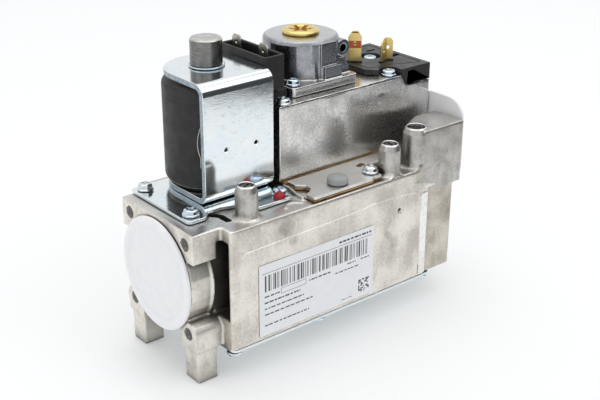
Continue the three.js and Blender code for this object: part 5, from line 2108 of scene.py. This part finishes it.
@dataclass
class Studio:
    """The camera, the lamps, the sky and the pale floor."""

    camera_at: Triple = (-217.6, -329.4, 259.6)
    yaw: float = 39.654
    pitch: float = 23.892
    roll: float = -0.193
    lens: float = 66.26
    floor_size: float = 6.0
    floor_edge: float = 0.33
    floor_sunk: float = 0.0002
    flag: Triple = (0.64, -0.77, 0.0)

    def build(self) -> None:
        """Sets up everything round the valve."""
        scene = bpy.context.scene
        scene.view_settings.view_transform = "Standard"
        self.camera()
        self.floor()
        self.sky()
        self.lamp("top_softbox", (0.05, 0.1, 0.95), (0.0, 0.0, 0.05), (0.9, 0.9), 1.9)
        self.lamp("left_softbox", (-1.1, 0.15, 0.75), (0.0, 0.0, 0.07), (0.5, 0.9), 0.6)
        self.lamp("right_softbox", (0.55, -0.75, 1.0), (0.02, 0.0, 0.05), (0.9, 0.6), 1.7)

    def camera(self) -> None:
        """Puts the camera where the valve's near corner is seen a little from above."""
        yaw, pitch, roll = (math.radians(a) for a in (self.yaw, self.pitch, self.roll))
        forward = Vector(
            (math.sin(yaw) * math.cos(pitch), math.cos(yaw) * math.cos(pitch), -math.sin(pitch))
        )
        right = forward.cross(Vector((0, 0, 1))).normalized()
        down = forward.cross(right)
        across = right * math.cos(roll) + down * math.sin(roll)
        below = down * math.cos(roll) - right * math.sin(roll)
        turn = Matrix((across, -below, -forward)).transposed().to_4x4()
        data = bpy.data.cameras.new("camera")
        data.lens = self.lens
        data.sensor_width = 36.0
        data.clip_start = 0.01
        camera = bpy.data.objects.new("camera", data)
        camera.matrix_world = Matrix.Translation(layout_to_frame() @ Vector(self.camera_at)) @ turn
        bpy.context.scene.collection.objects.link(camera)
        bpy.context.scene.camera = camera

    def floor(self) -> None:
        """The pale floor, a flat sheet with a little gloss."""
        bm = bmesh.new()
        bmesh.ops.create_grid(bm, x_segments=8, y_segments=8, size=self.floor_size)
        bmesh.ops.translate(bm, verts=bm.verts, vec=(self.floor_edge - self.floor_size, 0, 0))
        turn = Matrix.Rotation(math.atan2(self.flag[1], self.flag[0]), 3, "Z")
        bmesh.ops.rotate(bm, verts=bm.verts, matrix=turn)
        mesh = bpy.data.meshes.new("floor")
        bm.to_mesh(mesh)
        bm.free()
        material = bpy.data.materials.new("pale floor")
        material.use_nodes = True
        shader = material.node_tree.nodes["Principled BSDF"]
        shader.inputs["Base Color"].default_value = (0.7, 0.7, 0.7, 1)
        shader.inputs["Emission Color"].default_value = (0.97, 1.0, 1.0, 1)
        shader.inputs["Emission Strength"].default_value = 0.25
        shader.inputs["Roughness"].default_value = 0.5
        shader.inputs["Specular IOR Level"].default_value = 0.2
        mesh.materials.append(material)
        floor = bpy.data.objects.new("floor", mesh)
        floor.location.z = -self.floor_sunk
        bpy.context.scene.collection.objects.link(floor)

    def sky(self) -> None:
        """A white surround with a darker band low down on the side that faces the label."""
        world = bpy.data.worlds.new("white studio")
        bpy.context.scene.world = world
        world.use_nodes = True
        graph = Graph(world.node_tree)
        parts = graph.add("SeparateXYZ", {0: graph.add("TexCoord").outputs["Generated"]})
        up = parts.outputs["Z"]
        towards = {0: graph.add("TexCoord").outputs["Generated"], 1: self.flag}
        flag = graph.add("VectorMath", towards, operation="DOT_PRODUCT")
        near = graph.spread(flag.outputs["Value"], 0.66, 0.84)
        low = graph.spread(up, 0.52, 0.36)
        dark = graph.times(near, low)
        left = graph.times(graph.spread(parts.outputs["X"], -0.2, -0.7), graph.spread(up, 0.6, 0.3))
        colour = graph.blend(graph.times(left, 0.3), (0.98, 0.99, 1.0, 1), (0.3, 0.31, 0.32, 1))
        colour = graph.blend(dark, colour, (0.06, 0.065, 0.07, 1))
        room = world.node_tree.nodes["Background"]
        graph.link(colour, room.inputs["Color"])
        room.inputs["Strength"].default_value = 0.92
        white = graph.add("Background", {"Color": (0.95, 0.95, 0.95, 1), "Strength": 1.0})
        seen = graph.add("LightPath").outputs["Is Camera Ray"]
        mixed = graph.add("MixShader", {0: seen, 1: room.outputs[0], 2: white.outputs[0]})
        graph.link(mixed.outputs[0], world.node_tree.nodes["World Output"].inputs["Surface"])

    def lamp(self, name: str, at: Triple, aim: Triple, size: Point, power: float) -> None:
        """Adds a soft rectangular lamp.

        Args:
            name: its name.
            at: where it stands, in metres.
            aim: the point that it faces.
            size: its width and height in metres.
            power: its power in watts.
        """
        data = bpy.data.lights.new(name, "AREA")
        data.shape = "RECTANGLE"
        data.size, data.size_y = size
        data.energy = power
        lamp = bpy.data.objects.new(name, data)
        lamp.location = at
        lamp.rotation_euler = (Vector(aim) - Vector(at)).to_track_quat("-Z", "Y").to_euler()
        bpy.context.scene.collection.objects.link(lamp)


def main() -> None:
    """Builds the studio and every sub-assembly in order."""
    logging.basicConfig(level=logging.INFO, format="%(name)s %(message)s")
    bench = Bench()
    Studio().build()
    for assembly in (
        BodyCasting(),
        PortCaps(),
        CoverAssembly(),
        CoilAssembly(),
        ServoBlock(),
        Regulator(),
        TerminalBlock(),
        AccessCover(),
        Underside(),
        RatingLabel(),
        InnerPieces(),
    ):
        assembly.build(bench)
    log.info("%d pieces in all", len(bench.names))


if __name__ == "__main__":
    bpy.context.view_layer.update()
    main()
